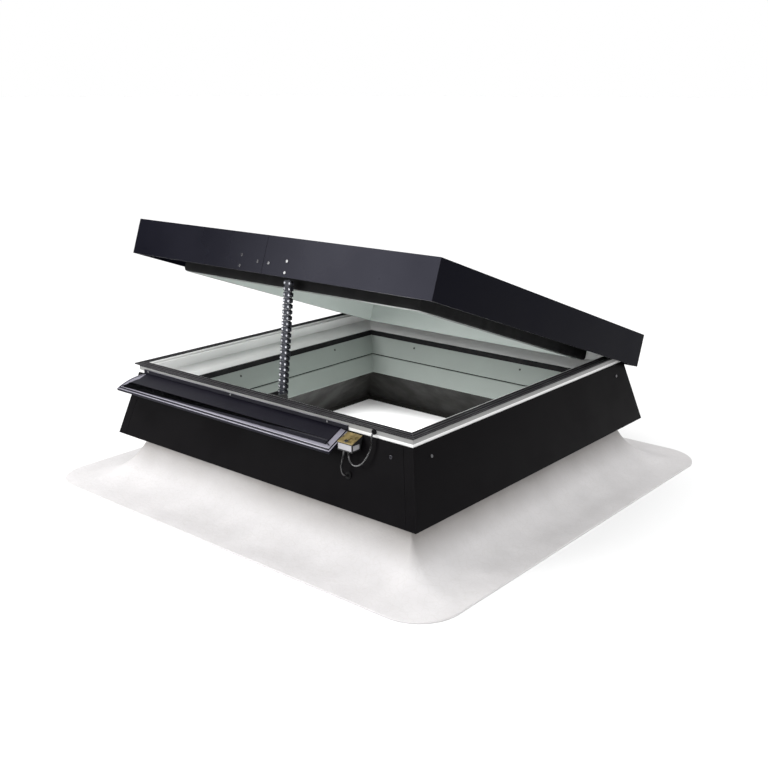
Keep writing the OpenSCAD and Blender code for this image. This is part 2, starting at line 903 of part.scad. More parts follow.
module cladding_grommet() {
    color("black")
        translate([supply_gland_x, -clad_face(supply_gland_z), supply_gland_z])
            rotate([90 - clad_angle, 0, 0])
                difference() {
                    union() {
                        cylinder(r = 8, h = 2.5, $fn = 48);
                        translate([0, 0, -4])
                            cylinder(r = 4.6, h = 5, $fn = 48);
                    }
                    translate([0, 0, -1])
                        cylinder(r = supply_cable_r + 0.5, h = 5, $fn = 32);
                }
}

module motor_cable() {
    color("black")
        swept_tube(motor_cable_route, motor_cable_r);
}

module supply_cable() {
    color("black")
        swept_tube(supply_cable_route, supply_cable_r);
}

// ---- Hinges ----

module hinge_pair() {
    for (x = [-hinge_x, hinge_x])
        translate([x, 0, 0])
            children();
}

// A tube along X about the hinge axis, from x0 to x1
module knuckle(x0, x1) {
    translate([x0, hinge_y, hinge_z])
        rotate([0, 90, 0])
            cylinder(r = knuckle_r, h = x1 - x0, $fn = 48);
}

module pin_hole(radius) {
    translate([-hinge_w, hinge_y, hinge_z])
        rotate([0, 90, 0])
            cylinder(r = radius, h = 2 * hinge_w, $fn = 48);
}

module hinge_leaves_fixed() {
    half = hinge_w / 2;
    third = knuckle_third / 2;
    color("black")
        difference() {
            hinge_pair()
                union() {
                    for (x = [[-half, -third], [third, half]]) {
                        knuckle(x[0], x[1]);
                        translate([x[0], frame_half + fit_gap, leaf_low])
                            cube([x[1] - x[0], hinge_y - frame_half - fit_gap, 5]);
                        translate([x[0], frame_half + fit_gap, leaf_low])
                            cube([x[1] - x[0], leaf_t, leaf_top - leaf_low]);
                        translate([x[0], hinge_y - leaf_t, leaf_low])
                            cube([x[1] - x[0], leaf_t, hinge_z - leaf_low]);
                    }
                    translate([-half, frame_half + fit_gap, leaf_low])
                        cube([hinge_w, leaf_t - fit_gap, 5]);
                }
            hinge_pair()
                pin_hole(pin_r);
            hinge_screw_set(1.6);
        }
}

module hinge_screw_set(radius) {
    hinge_pair()
        for (x = [-30, 30])
            translate([x, frame_half - 10, leaf_low + 2.5])
                rotate([-90, 0, 0])
                    cylinder(r = radius, h = 30, $fn = 24);
}

module hinge_screws() {
    color("dimgray")
        hinge_pair()
            for (x = [-30, 30])
                translate([x, frame_half - 9, leaf_low + 2.5])
                    rotate([-90, 0, 0]) {
                        cylinder(r = 1.5, h = 9 + hinge_y - frame_half, $fn = 24);
                        translate([0, 0, 9 + hinge_y - frame_half])
                            cylinder(r = 3, h = 1.5, $fn = 32);
                    }
}

module hinge_pins() {
    head = 1.5;
    color("silver")
        hinge_pair() {
            translate([-hinge_w / 2 - 1, hinge_y, hinge_z])
                rotate([0, 90, 0])
                    cylinder(r = pin_r, h = hinge_w + 2, $fn = 48);
            for (x = [-hinge_w / 2 - head, hinge_w / 2])
                translate([x, hinge_y, hinge_z])
                    rotate([0, 90, 0])
                        cylinder(r = pin_r + 1, h = head, $fn = 48);
        }
}

module hinge_leaves_lid() {
    half = knuckle_third / 2 - knuckle_gap;
    skirt_in = lid_back - sheet_t;
    color("black")
        open_lid()
            hinge_pair()
                difference() {
                    union() {
                        knuckle(-half, half);
                        translate([-half, hinge_y, strap_z])
                            cube([2 * half, skirt_in - hinge_y, leaf_t]);
                        translate([-half, skirt_in - leaf_t, strap_z])
                            cube([2 * half, leaf_t, carrier_z - strap_z]);
                    }
                    pin_hole(pin_r + pin_clear);
                }
}

// ---- Lid ----

// Skirt and top flange of the lid's sheet, closed
module lid_shell() {
    difference() {
        translate([-lid_half, -lid_front, lid_bottom_z])
            cube([lid_w, lid_d, lid_h]);
        translate([-lid_half + sheet_t, -lid_front + sheet_t, lid_bottom_z - 1])
            cube([lid_w - 2 * sheet_t, lid_d - 2 * sheet_t, lid_h - sheet_t + 1]);
        translate([-glass_half + 18, -glass_half + 18, lid_bottom_z])
            cube([2 * glass_half - 36, 2 * glass_half - 36, lid_h + 1]);
        rivet_holes();
    }
}

module lid_half_box(side) {
    cut = seam_x + side * sheet_gap / 2;
    translate([side > 0 ? cut : cut - big, -big / 2, 0])
        cube([big, big, big]);
}

module lid_cladding_left() {
    color("black")
        open_lid()
            intersection() {
                lid_shell();
                lid_half_box(-1);
            }
}

module lid_cladding_right() {
    color("black")
        open_lid()
            intersection() {
                lid_shell();
                lid_half_box(1);
            }
}

// Through bores for the rivets, front and back
module rivet_holes() {
    for (p = rivet_places)
        translate([seam_x + p[0], 0, lid_bottom_z + p[1]]) {
            translate([0, -lid_front - 1, 0])
                rotate([-90, 0, 0])
                    cylinder(r = rivet_r + 0.1, h = 8, $fn = 24);
            translate([0, lid_back - 7, 0])
                rotate([-90, 0, 0])
                    cylinder(r = rivet_r + 0.1, h = 8, $fn = 24);
        }
}

module splice_front() {
    color("black")
        open_lid()
            difference() {
                translate([seam_x - 88, -lid_front + sheet_t, lid_bottom_z + 3])
                    cube([176, splice_t, 40]);
                rivet_holes();
            }
}

module splice_back() {
    color("black")
        open_lid()
            difference() {
                translate([seam_x - 88, lid_back - sheet_t - splice_t, lid_bottom_z + 3])
                    cube([176, splice_t, 40]);
                rivet_holes();
            }
}

module splice_rivets() {
    stack = sheet_t + splice_t;
    color("silver")
        open_lid()
            for (p = rivet_places)
                translate([seam_x + p[0], 0, lid_bottom_z + p[1]])
                    for (place = [[-lid_front, 1], [lid_back, -1]])
                        translate([0, place[0], 0])
                            rotate([-90 * place[1], 0, 0]) {
                                cylinder(r = rivet_r, h = stack, $fn = 24);
                                translate([0, 0, -1.2])
                                    cylinder(r = rivet_head_r, h = 1.2, $fn = 32);
                                translate([0, 0, stack])
                                    cylinder(r = rivet_head_r - 0.6, h = 0.9, $fn = 32);
                            }
}

module lid_carrier() {
    color("black")
        open_lid()
            plain_frame(-lid_half + sheet_t, lid_half - sheet_t, -lid_front + sheet_t, lid_back - sheet_t,
                carrier_z, carrier_z + carrier_h, sash_out);
}

module lid_sash() {
    rebate = glass_half + rebate_gap;
    color("white")
        open_lid()
            difference() {
                square_ring(sash_out, [[sash_out, sash_z], [sash_out, glass_top], [rebate, glass_top],
                    [rebate, glass_z], [lip_in, glass_z], [lip_in, lip_z], [lip_out, lip_z],
                    [lip_out, sash_z - 12], [lip_out + 14, sash_z]]);
                at_bracket_screws()
                    translate([0, 0, -1])
                        cylinder(r = 1.6, h = 12, $fn = 24);
            }
}

module sash_seal() {
    out = lip_out + sash_seal_t;
    color("black")
        open_lid()
            square_ring(out, [[lip_out, lip_z + 0.5], [out - 2, lip_z + 2], [out, lip_z + 8],
                [out, sash_z - 12], [lip_out, sash_z - 14]]);
}

module glass_inner() {
    color("palegreen", 0.4)
        open_lid()
            translate([-glass_half, -glass_half, glass_z])
                cube([2 * glass_half, 2 * glass_half, pane_t]);
}

module glass_outer() {
    color("palegreen", 0.4)
        open_lid()
            translate([-glass_half, -glass_half, glass_z + pane_t + pane_gap])
                cube([2 * glass_half, 2 * glass_half, pane_t]);
}

module glass_spacer() {
    color("dimgray")
        open_lid()
            plain_frame(-glass_half + 2, glass_half - 2, -glass_half + 2, glass_half - 2,
                glass_z + pane_t, glass_z + pane_t + pane_gap, glass_half - 14);
}

module glazing_gasket() {
    color("black")
        open_lid()
            plain_frame(-glass_half, glass_half, -glass_half, glass_half,
                glass_top, lid_top_z - sheet_t, glass_half - 16);
}

module chain_bracket() {
    ear_t = 2.5;
    gap = plate_gap + 2 * plate_t + 3;
    color("dimgray")
        open_lid()
            difference() {
                union() {
                    translate([chain_x - 17, bracket_y - 14, sash_z - 3])
                        cube([34, 30, 3]);
                    for (y = [-gap / 2 - ear_t, gap / 2])
                        translate([chain_x - 6, bracket_y + y, bracket_z - 5])
                            cube([12, ear_t, sash_z - bracket_z + 4]);
                }
                translate([chain_x, bracket_y + 20, bracket_z])
                    rotate([90, 0, 0])
                        cylinder(r = 2, h = 40, $fn = 32);
                at_bracket_screws() {
                    translate([0, 0, -4])
                        cylinder(r = 2.7, h = 2.5, $fn = 24);
                    translate([0, 0, -4])
                        cylinder(r = 1.6, h = 5, $fn = 24);
                }
            }
}

// Places children where the bracket's screws enter the sash
module at_bracket_screws() {
    for (x = [-13, 13])
        translate([chain_x + x, bracket_y + 1, sash_z])
            children();
}

module bracket_screws() {
    color("silver")
        open_lid()
            at_bracket_screws() {
                translate([0, 0, -3])
                    cylinder(r = 2.6, h = 1.5, $fn = 24);
                translate([0, 0, -2])
                    cylinder(r = 1.5, h = 12, $fn = 24);
            }
}

module chain_bracket_pin() {
    gap = plate_gap + 2 * plate_t + 3;
    color("silver")
        open_lid()
            translate([chain_x, bracket_y + gap / 2 + 3.5, bracket_z])
                rotate([90, 0, 0])
                    cylinder(r = 2, h = gap + 7, $fn = 32);
}

kerb_upstand();
kerb_core();
outer_insulation();
lining_lower();
lining_upper();
lining_joint_seal();
inner_seal();
lining_screws();
fixed_frame();
rim_gasket();
cladding_front();
cladding_back();
cladding_left();
cladding_right();
cladding_screws();
drive_housing();
drive_end_caps();
drive_motor();
drive_gearbox();
sprocket();
chain_plates();
chain_pins();
chain_guide();
hood();
hood_screws();
control_module();
terminal_box();
terminal_plate();
terminal_labels();
terminal_screw();
frame_grommet();
cladding_grommet();
motor_cable();
supply_cable();
hinge_leaves_fixed();
hinge_pins();
hinge_screws();
hinge_leaves_lid();
lid_cladding_left();
lid_cladding_right();
lid_carrier();
splice_front();
splice_back();
splice_rivets();
lid_sash();
sash_seal();
glass_inner();
glass_outer();
glass_spacer();
glazing_gasket();
chain_bracket();
chain_bracket_pin();
bracket_screws();
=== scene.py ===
import json
import math

import bmesh
import bpy
from bpy.props import FloatProperty, FloatVectorProperty, PointerProperty
from mathutils import Matrix, Vector, noise

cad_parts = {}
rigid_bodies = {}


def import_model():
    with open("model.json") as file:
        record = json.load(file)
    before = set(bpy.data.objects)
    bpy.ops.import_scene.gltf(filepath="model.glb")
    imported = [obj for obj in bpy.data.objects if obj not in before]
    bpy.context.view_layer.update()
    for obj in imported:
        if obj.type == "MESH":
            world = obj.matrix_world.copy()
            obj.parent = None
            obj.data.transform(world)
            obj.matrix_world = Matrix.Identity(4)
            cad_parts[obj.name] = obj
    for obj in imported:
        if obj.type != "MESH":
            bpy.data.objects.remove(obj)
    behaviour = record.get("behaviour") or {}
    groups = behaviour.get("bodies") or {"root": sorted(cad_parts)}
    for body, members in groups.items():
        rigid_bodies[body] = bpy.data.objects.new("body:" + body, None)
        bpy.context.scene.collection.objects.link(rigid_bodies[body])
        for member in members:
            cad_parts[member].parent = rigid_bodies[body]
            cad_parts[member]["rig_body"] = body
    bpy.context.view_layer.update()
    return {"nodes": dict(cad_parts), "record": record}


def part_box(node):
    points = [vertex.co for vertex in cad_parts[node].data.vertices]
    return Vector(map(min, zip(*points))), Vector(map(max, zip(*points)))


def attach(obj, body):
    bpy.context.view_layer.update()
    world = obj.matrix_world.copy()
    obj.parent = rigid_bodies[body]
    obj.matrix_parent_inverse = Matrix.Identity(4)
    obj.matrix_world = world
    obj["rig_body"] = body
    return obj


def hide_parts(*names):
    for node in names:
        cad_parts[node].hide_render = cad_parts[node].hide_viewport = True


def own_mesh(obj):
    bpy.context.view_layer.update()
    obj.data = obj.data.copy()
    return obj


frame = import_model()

bl_info = {
    "name": "Flat-roof skylight",
    "version": (1, 0, 0),
    "blender": (4, 5, 0),
    "location": "View3D > Sidebar > Skylight",
    "description": "Finishes and formed meshes of an opening flat-roof skylight",
    "category": "Object",
}

MM = 0.001
# How far the lid stands open, and the line it turns about
LID_HINGE = next(joint for joint in frame["record"]["behaviour"]["joints"] if joint["name"] == "lid_hinge")
LID_PIVOT = Vector(LID_HINGE["pos_m"])
LID_OPEN = math.radians(LID_HINGE["range_deg"][1])
# Half widths at which a finish changes: the gasket's white inner strip, and the closed sash's pale ring of
# painted shade
GASKET_LINE = 436.5 * MM
SASH_RING = 383 * MM

# Lead routes, as in the part's own source, in millimetres
MOTOR_LEAD_ROUTE = [
    (304, -484, 252), (305, -486, 243), (310, -489, 234), (318, -490, 227),
    (328, -490, 225), (338, -487, 229), (346, -483, 238), (352, -477, 252), (355, -471, 268),
    (354, -467, 281), (352, -465, 290), (351, -461, 295.5), (350, -457, 297), (350, -454.5, 297),
]
SUPPLY_LEAD_ROUTE = [
    (290, -484, 252), (290, -486, 240), (290, -490, 228), (291, -494, 217),
    (293, -495, 207), (296, -494, 200), (298, -490, 196.8), (299, -486, 195.4), (299, -481.6, 194.3),
]

# Each lamp's name, kind, place, size and power
LAMPS = (
    ("key", "AREA", (-2.6, -1.6, 3.0), 2.0, 20),
    ("front", "AREA", (-1.25, -2.35, 1.38), 1.2, 44),
    ("side", "AREA", (3.0, -0.6, 2.2), 1.5, 20),
    ("inside", "POINT", (0.0, -0.03, 0.27), 0.1, 1.3),
    ("below", "AREA", (0.0, 0.0, 0.10), 0.78, 5.0),
)
LAMP_TARGET = Vector((0.3, -0.45, 0.5))


# ---- Sizes and colours a user may change ----

def colour_setting(name, description, default):
    return FloatVectorProperty(name=name, description=description, default=default,
                               size=3, min=0.0, max=1.0, subtype="COLOR")


def length_setting(name, description, default):
    return FloatProperty(name=name, description=description, default=default,
                         min=0.0, subtype="DISTANCE", unit="LENGTH")


class SkylightSizes(bpy.types.PropertyGroup):
    """Sizes of the formed detail"""

    sheet_bend: length_setting("Sheet bend", "Outer radius of a folded sheet edge", 1.8 * MM)
    profile_edge: length_setting("Profile edge", "Rounding of frame and sash profiles", 1.2 * MM)
    seal_edge: length_setting("Seal edge", "Rounding of rubber seals", 0.6 * MM)
    small_edge: length_setting("Small edge", "Rounding of small metal and plastic pieces", 0.4 * MM)
    rivet_dome: length_setting("Rivet dome", "Rounding of screw and rivet heads", 0.6 * MM)
    skin_thickness: length_setting("Skin thickness", "Thickness of the moulded kerb skin", 4 * MM)
    flange_corner: length_setting("Flange corner", "Corner radius of the roof flange", 100 * MM)
    flange_ripple: length_setting("Flange ripple", "Height of the hand-laid flange's unevenness", 0.9 * MM)
    hood_border: length_setting("Hood border", "Width of the hood's bright border", 15 * MM)
    motor_lead: length_setting("Motor lead", "Diameter of the looped lead", 4 * MM)
    supply_lead: length_setting("Supply lead", "Diameter of the supply lead", 5 * MM)


class SkylightColours(bpy.types.PropertyGroup):
    """Main colours of the finishes"""

    laminate: colour_setting("Laminate", "Moulded kerb skin", (0.655, 0.64, 0.645))
    # Near-black painted shade: the skin's inner slope, of the same laminate, is coloured for the shade that
    # falls in it
    laminate_inside_shade: colour_setting("Laminate inside", "Dark inner slope of the kerb",
                                    (0.0045, 0.0043, 0.0035))
    # Colour of the painted shade and grime that darken the skin close under the cladding
    shade_and_stain: colour_setting("Stain", "Grime under the cladding", (0.20, 0.175, 0.15))
    sheet_black: colour_setting("Black sheet", "Cladding", (0.0022, 0.0018, 0.0024))
    # The blue cast of the lid sheet is painted reflection of the sky
    lid_black: colour_setting("Lid sheet", "Lid's blue-black sheet", (0.0028, 0.0028, 0.006))
    # The blue cast of the hood panel is painted reflection of the sky
    hood_blue: colour_setting("Hood panel", "Hood's dark panel", (0.006, 0.0055, 0.011))
    # The hood's bright border is painted highlight along the hem's folds
    hood_border: colour_setting("Hood border", "Hood's bright border", (0.20, 0.192, 0.235))
    white: colour_setting("White frame", "Fixed frame", (0.86, 0.86, 0.855))
    # The lining's grey-green is painted shade with the green cast of light through the glass
    lining: colour_setting("Lining", "Grey-green boards", (0.235, 0.262, 0.245))
    rim: colour_setting("Rim gasket", "Ribbed rubber on the rim", (0.014, 0.013, 0.015))
    # Grey painted shade on the white frame where the rim gasket overhangs its outer edge
    frame_band: colour_setting("Frame band", "Grey band above the frame's white edge", (0.28, 0.28, 0.275))
    # The sash's grey-green is painted shade with the green cast of light through the glass
    sash: colour_setting("Sash", "Pale ring of the sash that hangs into the kerb", (0.42, 0.46, 0.44))
    glass: colour_setting("Glass", "Pale green panes", (0.88, 0.94, 0.905))


# ---- Shader node groups ----

def new_group(name, inputs, outputs):
    """An empty shader group with its sockets; inputs are (name, type, default)."""
    group = bpy.data.node_groups.new(name, "ShaderNodeTree")
    for label, kind, default in inputs:
        socket = group.interface.new_socket(label, in_out="INPUT", socket_type=kind)
        socket.default_value = default
    for label, kind in outputs:
        group.interface.new_socket(label, in_out="OUTPUT", socket_type=kind)
    return group, group.nodes.new("NodeGroupInput"), group.nodes.new("NodeGroupOutput")


def add_math(tree, operation, first, second):
    """A Math node; each operand is a socket or a number."""
    node = tree.nodes.new("ShaderNodeMath")
    node.operation = operation
    for socket, operand in zip(node.inputs, (first, second)):
        if isinstance(operand, (int, float)):
            socket.default_value = operand
        else:
            tree.links.new(operand, socket)
    return node.outputs[0]


def add_noise(tree, vector, scale, detail):
    node = tree.nodes.new("ShaderNodeTexNoise")
    node.inputs["Detail"].default_value = detail
    tree.links.new(vector, node.inputs["Vector"])
    if isinstance(scale, (int, float)):
        node.inputs["Scale"].default_value = scale
    else:
        tree.links.new(scale, node.inputs["Scale"])
    return node.outputs["Fac"]


def add_range(tree, value, low, high, to_low, to_high):
    """A clamped Map Range node; each bound is a socket or a number."""
    node = tree.nodes.new("ShaderNodeMapRange")
    tree.links.new(value, node.inputs["Value"])
    for label, bound in zip(("From Min", "From Max", "To Min", "To Max"), (low, high, to_low, to_high)):
        if isinstance(bound, (int, float)):
            node.inputs[label].default_value = bound
        else:
            tree.links.new(bound, node.inputs[label])
    return node.outputs["Result"]


def add_mix(tree, factor, first, second):
    node = tree.nodes.new("ShaderNodeMix")
    node.data_type = "RGBA"
    tree.links.new(factor, node.inputs["Factor"])
    for socket, operand in ((node.inputs["A"], first), (node.inputs["B"], second)):
        if isinstance(operand, tuple):
            socket.default_value = operand
        else:
            tree.links.new(operand, socket)
    return node.outputs["Result"]


def grain_group():
    """Cloudy colour, roughness and a fine height, stretched along an axis if asked."""
    name = "surface_grain"
    if name in bpy.data.node_groups:
        return bpy.data.node_groups[name]
    group, given, made = new_group(
        name,
        [("Colour", "NodeSocketColor", (0.5, 0.5, 0.5, 1)), ("Variation", "NodeSocketFloat", 0.1),
         ("Scale", "NodeSocketFloat", 20.0), ("Stretch", "NodeSocketVector", (1, 1, 1)),
         ("Smooth", "NodeSocketFloat", 0.3), ("Rough", "NodeSocketFloat", 0.5),
         ("Fine Scale", "NodeSocketFloat", 300.0)],
        [("Colour", "NodeSocketColor"), ("Roughness", "NodeSocketFloat"), ("Height", "NodeSocketFloat")])
    place = group.nodes.new("ShaderNodeTexCoord")
    stretch = group.nodes.new("ShaderNodeVectorMath")
    stretch.operation = "MULTIPLY"
    group.links.new(place.outputs["Object"], stretch.inputs[0])
    group.links.new(given.outputs["Stretch"], stretch.inputs[1])
    cloud = add_noise(group, stretch.outputs["Vector"], given.outputs["Scale"], 5.0)
    fine = add_noise(group, stretch.outputs["Vector"], given.outputs["Fine Scale"], 3.0)
    swing = add_math(group, "MULTIPLY", add_math(group, "SUBTRACT", cloud, 0.5), given.outputs["Variation"])
    gain = add_math(group, "ADD", add_math(group, "MULTIPLY", swing, 4.0), 1.0)
    tint = group.nodes.new("ShaderNodeVectorMath")
    tint.operation = "SCALE"
    group.links.new(given.outputs["Colour"], tint.inputs[0])
    group.links.new(gain, tint.inputs["Scale"])
    group.links.new(tint.outputs["Vector"], made.inputs["Colour"])
    group.links.new(add_range(group, cloud, 0.35, 0.65, given.outputs["Smooth"], given.outputs["Rough"]),
                    made.inputs["Roughness"])
    group.links.new(fine, made.inputs["Height"])
    return group


def wear_and_highlight_group():
    """Paler colour on rounded edges, broken up by noise: partly rubbed paint, partly painted highlight where
    the edges catch light.
    """
    name = "edge_wear"
    if name in bpy.data.node_groups:
        return bpy.data.node_groups[name]
    group, given, made = new_group(
        name,
        [("Colour", "NodeSocketColor", (0.5, 0.5, 0.5, 1)),
         ("Worn Colour", "NodeSocketColor", (0.6, 0.6, 0.6, 1)), ("Amount", "NodeSocketFloat", 0.3)],
        [("Colour", "NodeSocketColor"), ("Mask", "NodeSocketFloat")])
    # The marked edge faces take the paler colour: rubbed paint and painted highlight
    edge = group.nodes.new("ShaderNodeAttribute")
    edge.attribute_name = "worn_and_lit_edge"
    place = group.nodes.new("ShaderNodeTexCoord")
    patches = add_range(group, add_noise(group, place.outputs["Object"], 14.0, 4.0), 0.35, 0.65, 0.35, 1.0)
    mask = add_math(group, "MULTIPLY", add_math(group, "MULTIPLY", edge.outputs["Fac"], patches),
                    given.outputs["Amount"])
    group.links.new(add_mix(group, mask, given.outputs["Colour"], given.outputs["Worn Colour"]),
                    made.inputs["Colour"])
    group.links.new(mask, made.inputs["Mask"])
    return group


def dust_group():
    """Thin dust on what faces up."""
    name = "dust_film"
    if name in bpy.data.node_groups:
        return bpy.data.node_groups[name]
    group, given, made = new_group(
        name,
        [("Colour", "NodeSocketColor", (0.5, 0.5, 0.5, 1)),
         ("Dust Colour", "NodeSocketColor", (0.4, 0.38, 0.35, 1)), ("Amount", "NodeSocketFloat", 0.1)],
        [("Colour", "NodeSocketColor"), ("Mask", "NodeSocketFloat")])
    facing = group.nodes.new("ShaderNodeNewGeometry")
    split = group.nodes.new("ShaderNodeSeparateXYZ")
    group.links.new(facing.outputs["Normal"], split.inputs["Vector"])
    up = add_range(group, split.outputs["Z"], 0.35, 1.0, 0.0, 1.0)
    place = group.nodes.new("ShaderNodeTexCoord")
    patches = add_range(group, add_noise(group, place.outputs["Object"], 9.0, 6.0), 0.3, 0.75, 0.15, 1.0)
    mask = add_math(group, "MULTIPLY", add_math(group, "MULTIPLY", up, patches), given.outputs["Amount"])
    group.links.new(add_mix(group, mask, given.outputs["Colour"], given.outputs["Dust Colour"]),
                    made.inputs["Colour"])
    group.links.new(mask, made.inputs["Mask"])
    return group


def place_group(tree, group, **values):
    node = tree.nodes.new("ShaderNodeGroup")
    node.node_tree = group
    for label, value in values.items():
        node.inputs[label.replace("_", " ")].default_value = value
    return node


# ---- Finishes ----

def rgba(colour):
    return (colour[0], colour[1], colour[2], 1.0)


def coated(name, colour, smooth, rough, variation=0.1, scale=12.0, fine=260.0, depth=0.02,
           stretch=(1, 1, 1), worn_and_lit=(0.5, 0.5, 0.52), wear_and_highlight=0.2, dust=0.05, metallic=0.0,
           specular=0.5, coat=0.0, tint=(1, 1, 1)):
    """A finish made of grain, paler rounded edges of rubbed paint and painted highlight, and dust; depth is
    the fine grain's height in millimetres.
    """
    if name in bpy.data.materials:
        return bpy.data.materials[name]
    material = bpy.data.materials.new(name)
    material.use_nodes = True
    tree = material.node_tree
    shader = tree.nodes["Principled BSDF"]
    shader.inputs["Metallic"].default_value = metallic
    shader.inputs["Specular IOR Level"].default_value = specular
    shader.inputs["Specular Tint"].default_value = rgba(tint)
    shader.inputs["Coat Weight"].default_value = coat
    shader.inputs["Coat Roughness"].default_value = 0.12
    grain = place_group(tree, grain_group(), Colour=rgba(colour), Variation=variation, Scale=scale,
                        Stretch=stretch, Smooth=smooth, Rough=rough, Fine_Scale=fine)
    edges = place_group(tree, wear_and_highlight_group(), Worn_Colour=rgba(worn_and_lit), Amount=wear_and_highlight)
    film = place_group(tree, dust_group(), Amount=dust)
    tree.links.new(grain.outputs["Colour"], edges.inputs["Colour"])
    tree.links.new(edges.outputs["Colour"], film.inputs["Colour"])
    tree.links.new(film.outputs["Colour"], shader.inputs["Base Color"])
    tree.links.new(grain.outputs["Roughness"], shader.inputs["Roughness"])
    bump = tree.nodes.new("ShaderNodeBump")
    bump.inputs["Strength"].default_value = 0.5
    bump.inputs["Distance"].default_value = depth * MM
    tree.links.new(grain.outputs["Height"], bump.inputs["Height"])
    tree.links.new(bump.outputs["Normal"], shader.inputs["Normal"])
    return material


def laminate(colours):
    """Hand-laid laminate: short fibres, shallow creases, and painted shade mixed with grime close under the
    cladding.
    """
    name = "kerb_laminate"
    if name in bpy.data.materials:
        return bpy.data.materials[name]
    material = coated(name, colours.laminate, 0.42, 0.62, variation=0.06, scale=13.0, fine=75.0, depth=2.2,
                      wear_and_highlight=0.0, dust=0.08, specular=0.4)
    tree = material.node_tree
    shader = tree.nodes["Principled BSDF"]
    place = tree.nodes.new("ShaderNodeTexCoord")
    split = tree.nodes.new("ShaderNodeSeparateXYZ")
    tree.links.new(place.outputs["Object"], split.inputs["Vector"])
    # Painted shade with grime: the skin darkens towards the cladding above, broken up by streaks
    height = add_range(tree, split.outputs["Z"], 0.03, 0.12, 0.0, 0.95)
    streaks = add_range(tree, add_noise(tree, place.outputs["Object"], 5.0, 8.0), 0.25, 0.7, 0.45, 1.0)
    shaded_and_stained = add_mix(tree, add_math(tree, "MULTIPLY", height, streaks),
                      shader.inputs["Base Color"].links[0].from_socket, rgba(colours.shade_and_stain))
    fibre = tree.nodes.new("ShaderNodeTexVoronoi")
    fibre.feature = "DISTANCE_TO_EDGE"
    fibre.inputs["Scale"].default_value = 55.0
    fibre.inputs["Randomness"].default_value = 1.0
    warp = tree.nodes.new("ShaderNodeVectorMath")
    warp.operation = "ADD"
    wobble = tree.nodes.new("ShaderNodeTexNoise")
    wobble.inputs["Scale"].default_value = 30.0
    tree.links.new(place.outputs["Object"], wobble.inputs["Vector"])
    shrink = tree.nodes.new("ShaderNodeVectorMath")
    shrink.operation = "SCALE"
    shrink.inputs["Scale"].default_value = 0.03
    tree.links.new(wobble.outputs["Color"], shrink.inputs[0])
    tree.links.new(place.outputs["Object"], warp.inputs[0])
    tree.links.new(shrink.outputs["Vector"], warp.inputs[1])
    tree.links.new(warp.outputs["Vector"], fibre.inputs["Vector"])
    line = add_range(tree, fibre.outputs["Distance"], 0.0, 0.06, 0.22, 0.0)
    lined = add_mix(tree, line, shaded_and_stained, (0.52, 0.50, 0.47, 1.0))
    tree.links.new(lined, shader.inputs["Base Color"])
    return material


# Painted shade: the kerb skin's inner slope made near-black
def laminate_inside_shade(colours):
    return coated("kerb_inside", colours.laminate_inside_shade, 0.45, 0.7, variation=0.18, fine=120.0, depth=0.4,
                  wear_and_highlight=0.1, worn_and_lit=(0.12, 0.12, 0.11), dust=0.0, specular=0.1)


def cladding_black(colours):
    return coated("cladding_black", colours.sheet_black, 0.34, 0.46, variation=0.12, fine=700.0,
                  depth=0.012, wear_and_highlight=0.3, worn_and_lit=(0.10, 0.10, 0.11), dust=0.006, specular=0.05)


# Painted reflection: colour and reflection tinted blue for the sky; the pale rounded corners add painted
# highlight
def lid_black(colours):
    return coated("lid_black", colours.lid_black, 0.25, 0.32, variation=0.10, scale=5.0, fine=700.0,
                  depth=0.01, wear_and_highlight=0.4, worn_and_lit=(0.30, 0.30, 0.34), dust=0.004, specular=0.09,
                  tint=(0.78, 0.78, 1.0))


# Painted shade: a copy of the lid sheet that reflects less, for the faces that point sideways
def lid_side(colours):
    return coated("lid_side", colours.lid_black, 0.3, 0.4, variation=0.10, scale=5.0, fine=700.0,
                  depth=0.01, wear_and_highlight=0.4, worn_and_lit=(0.30, 0.30, 0.34), dust=0.004, specular=0.02)


# Painted reflection in the panel's blue cast; the upstand's pale hem adds painted highlight with rubbed
# paint
def hood_blue(colours):
    return coated("hood_blue", colours.hood_blue, 0.34, 0.46, variation=0.15, scale=9.0, fine=500.0,
                  depth=0.01, wear_and_highlight=0.8, worn_and_lit=(0.5, 0.49, 0.54), dust=0.008, specular=0.12)


# Painted highlight: a bright colour on the hem's folds and border
def hood_border(colours):
    return coated("hood_border", colours.hood_border, 0.25, 0.4, variation=0.14, scale=16.0, fine=300.0,
                  depth=0.02, stretch=(0.2, 1, 1), wear_and_highlight=0.3, worn_and_lit=(0.62, 0.61, 0.68), dust=0.0, metallic=0.1)


def white_profile(colours):
    return coated("white_profile", colours.white, 0.28, 0.42, variation=0.03, scale=6.0, fine=400.0,
                  depth=0.02, wear_and_highlight=0.15, worn_and_lit=(0.6, 0.6, 0.6), dust=0.16)


# Painted shade: grey-green for the boards in shade under green light through the glass
def lining_board(colours):
    return coated("lining_board", colours.lining, 0.36, 0.52, variation=0.08, scale=4.0, fine=350.0,
                  depth=0.05, stretch=(1, 1, 0.3), wear_and_highlight=0.2, worn_and_lit=(0.42, 0.46, 0.43), dust=0.04)


def seal_black():
    return coated("seal_black", (0.006, 0.006, 0.0065), 0.55, 0.75, variation=0.2, scale=30.0, fine=900.0,
                  depth=0.03, wear_and_highlight=0.1, worn_and_lit=(0.03, 0.03, 0.03), dust=0.01, specular=0.12)


# The ribs' pale ridges are partly rubbed rubber and partly painted highlight
def rim_rubber(colours):
    return coated("rim_ribbed", colours.rim, 0.45, 0.62, variation=0.2, scale=25.0, fine=600.0, depth=0.04,
                  wear_and_highlight=0.55, worn_and_lit=(0.17, 0.165, 0.175), dust=0.015, specular=0.1)


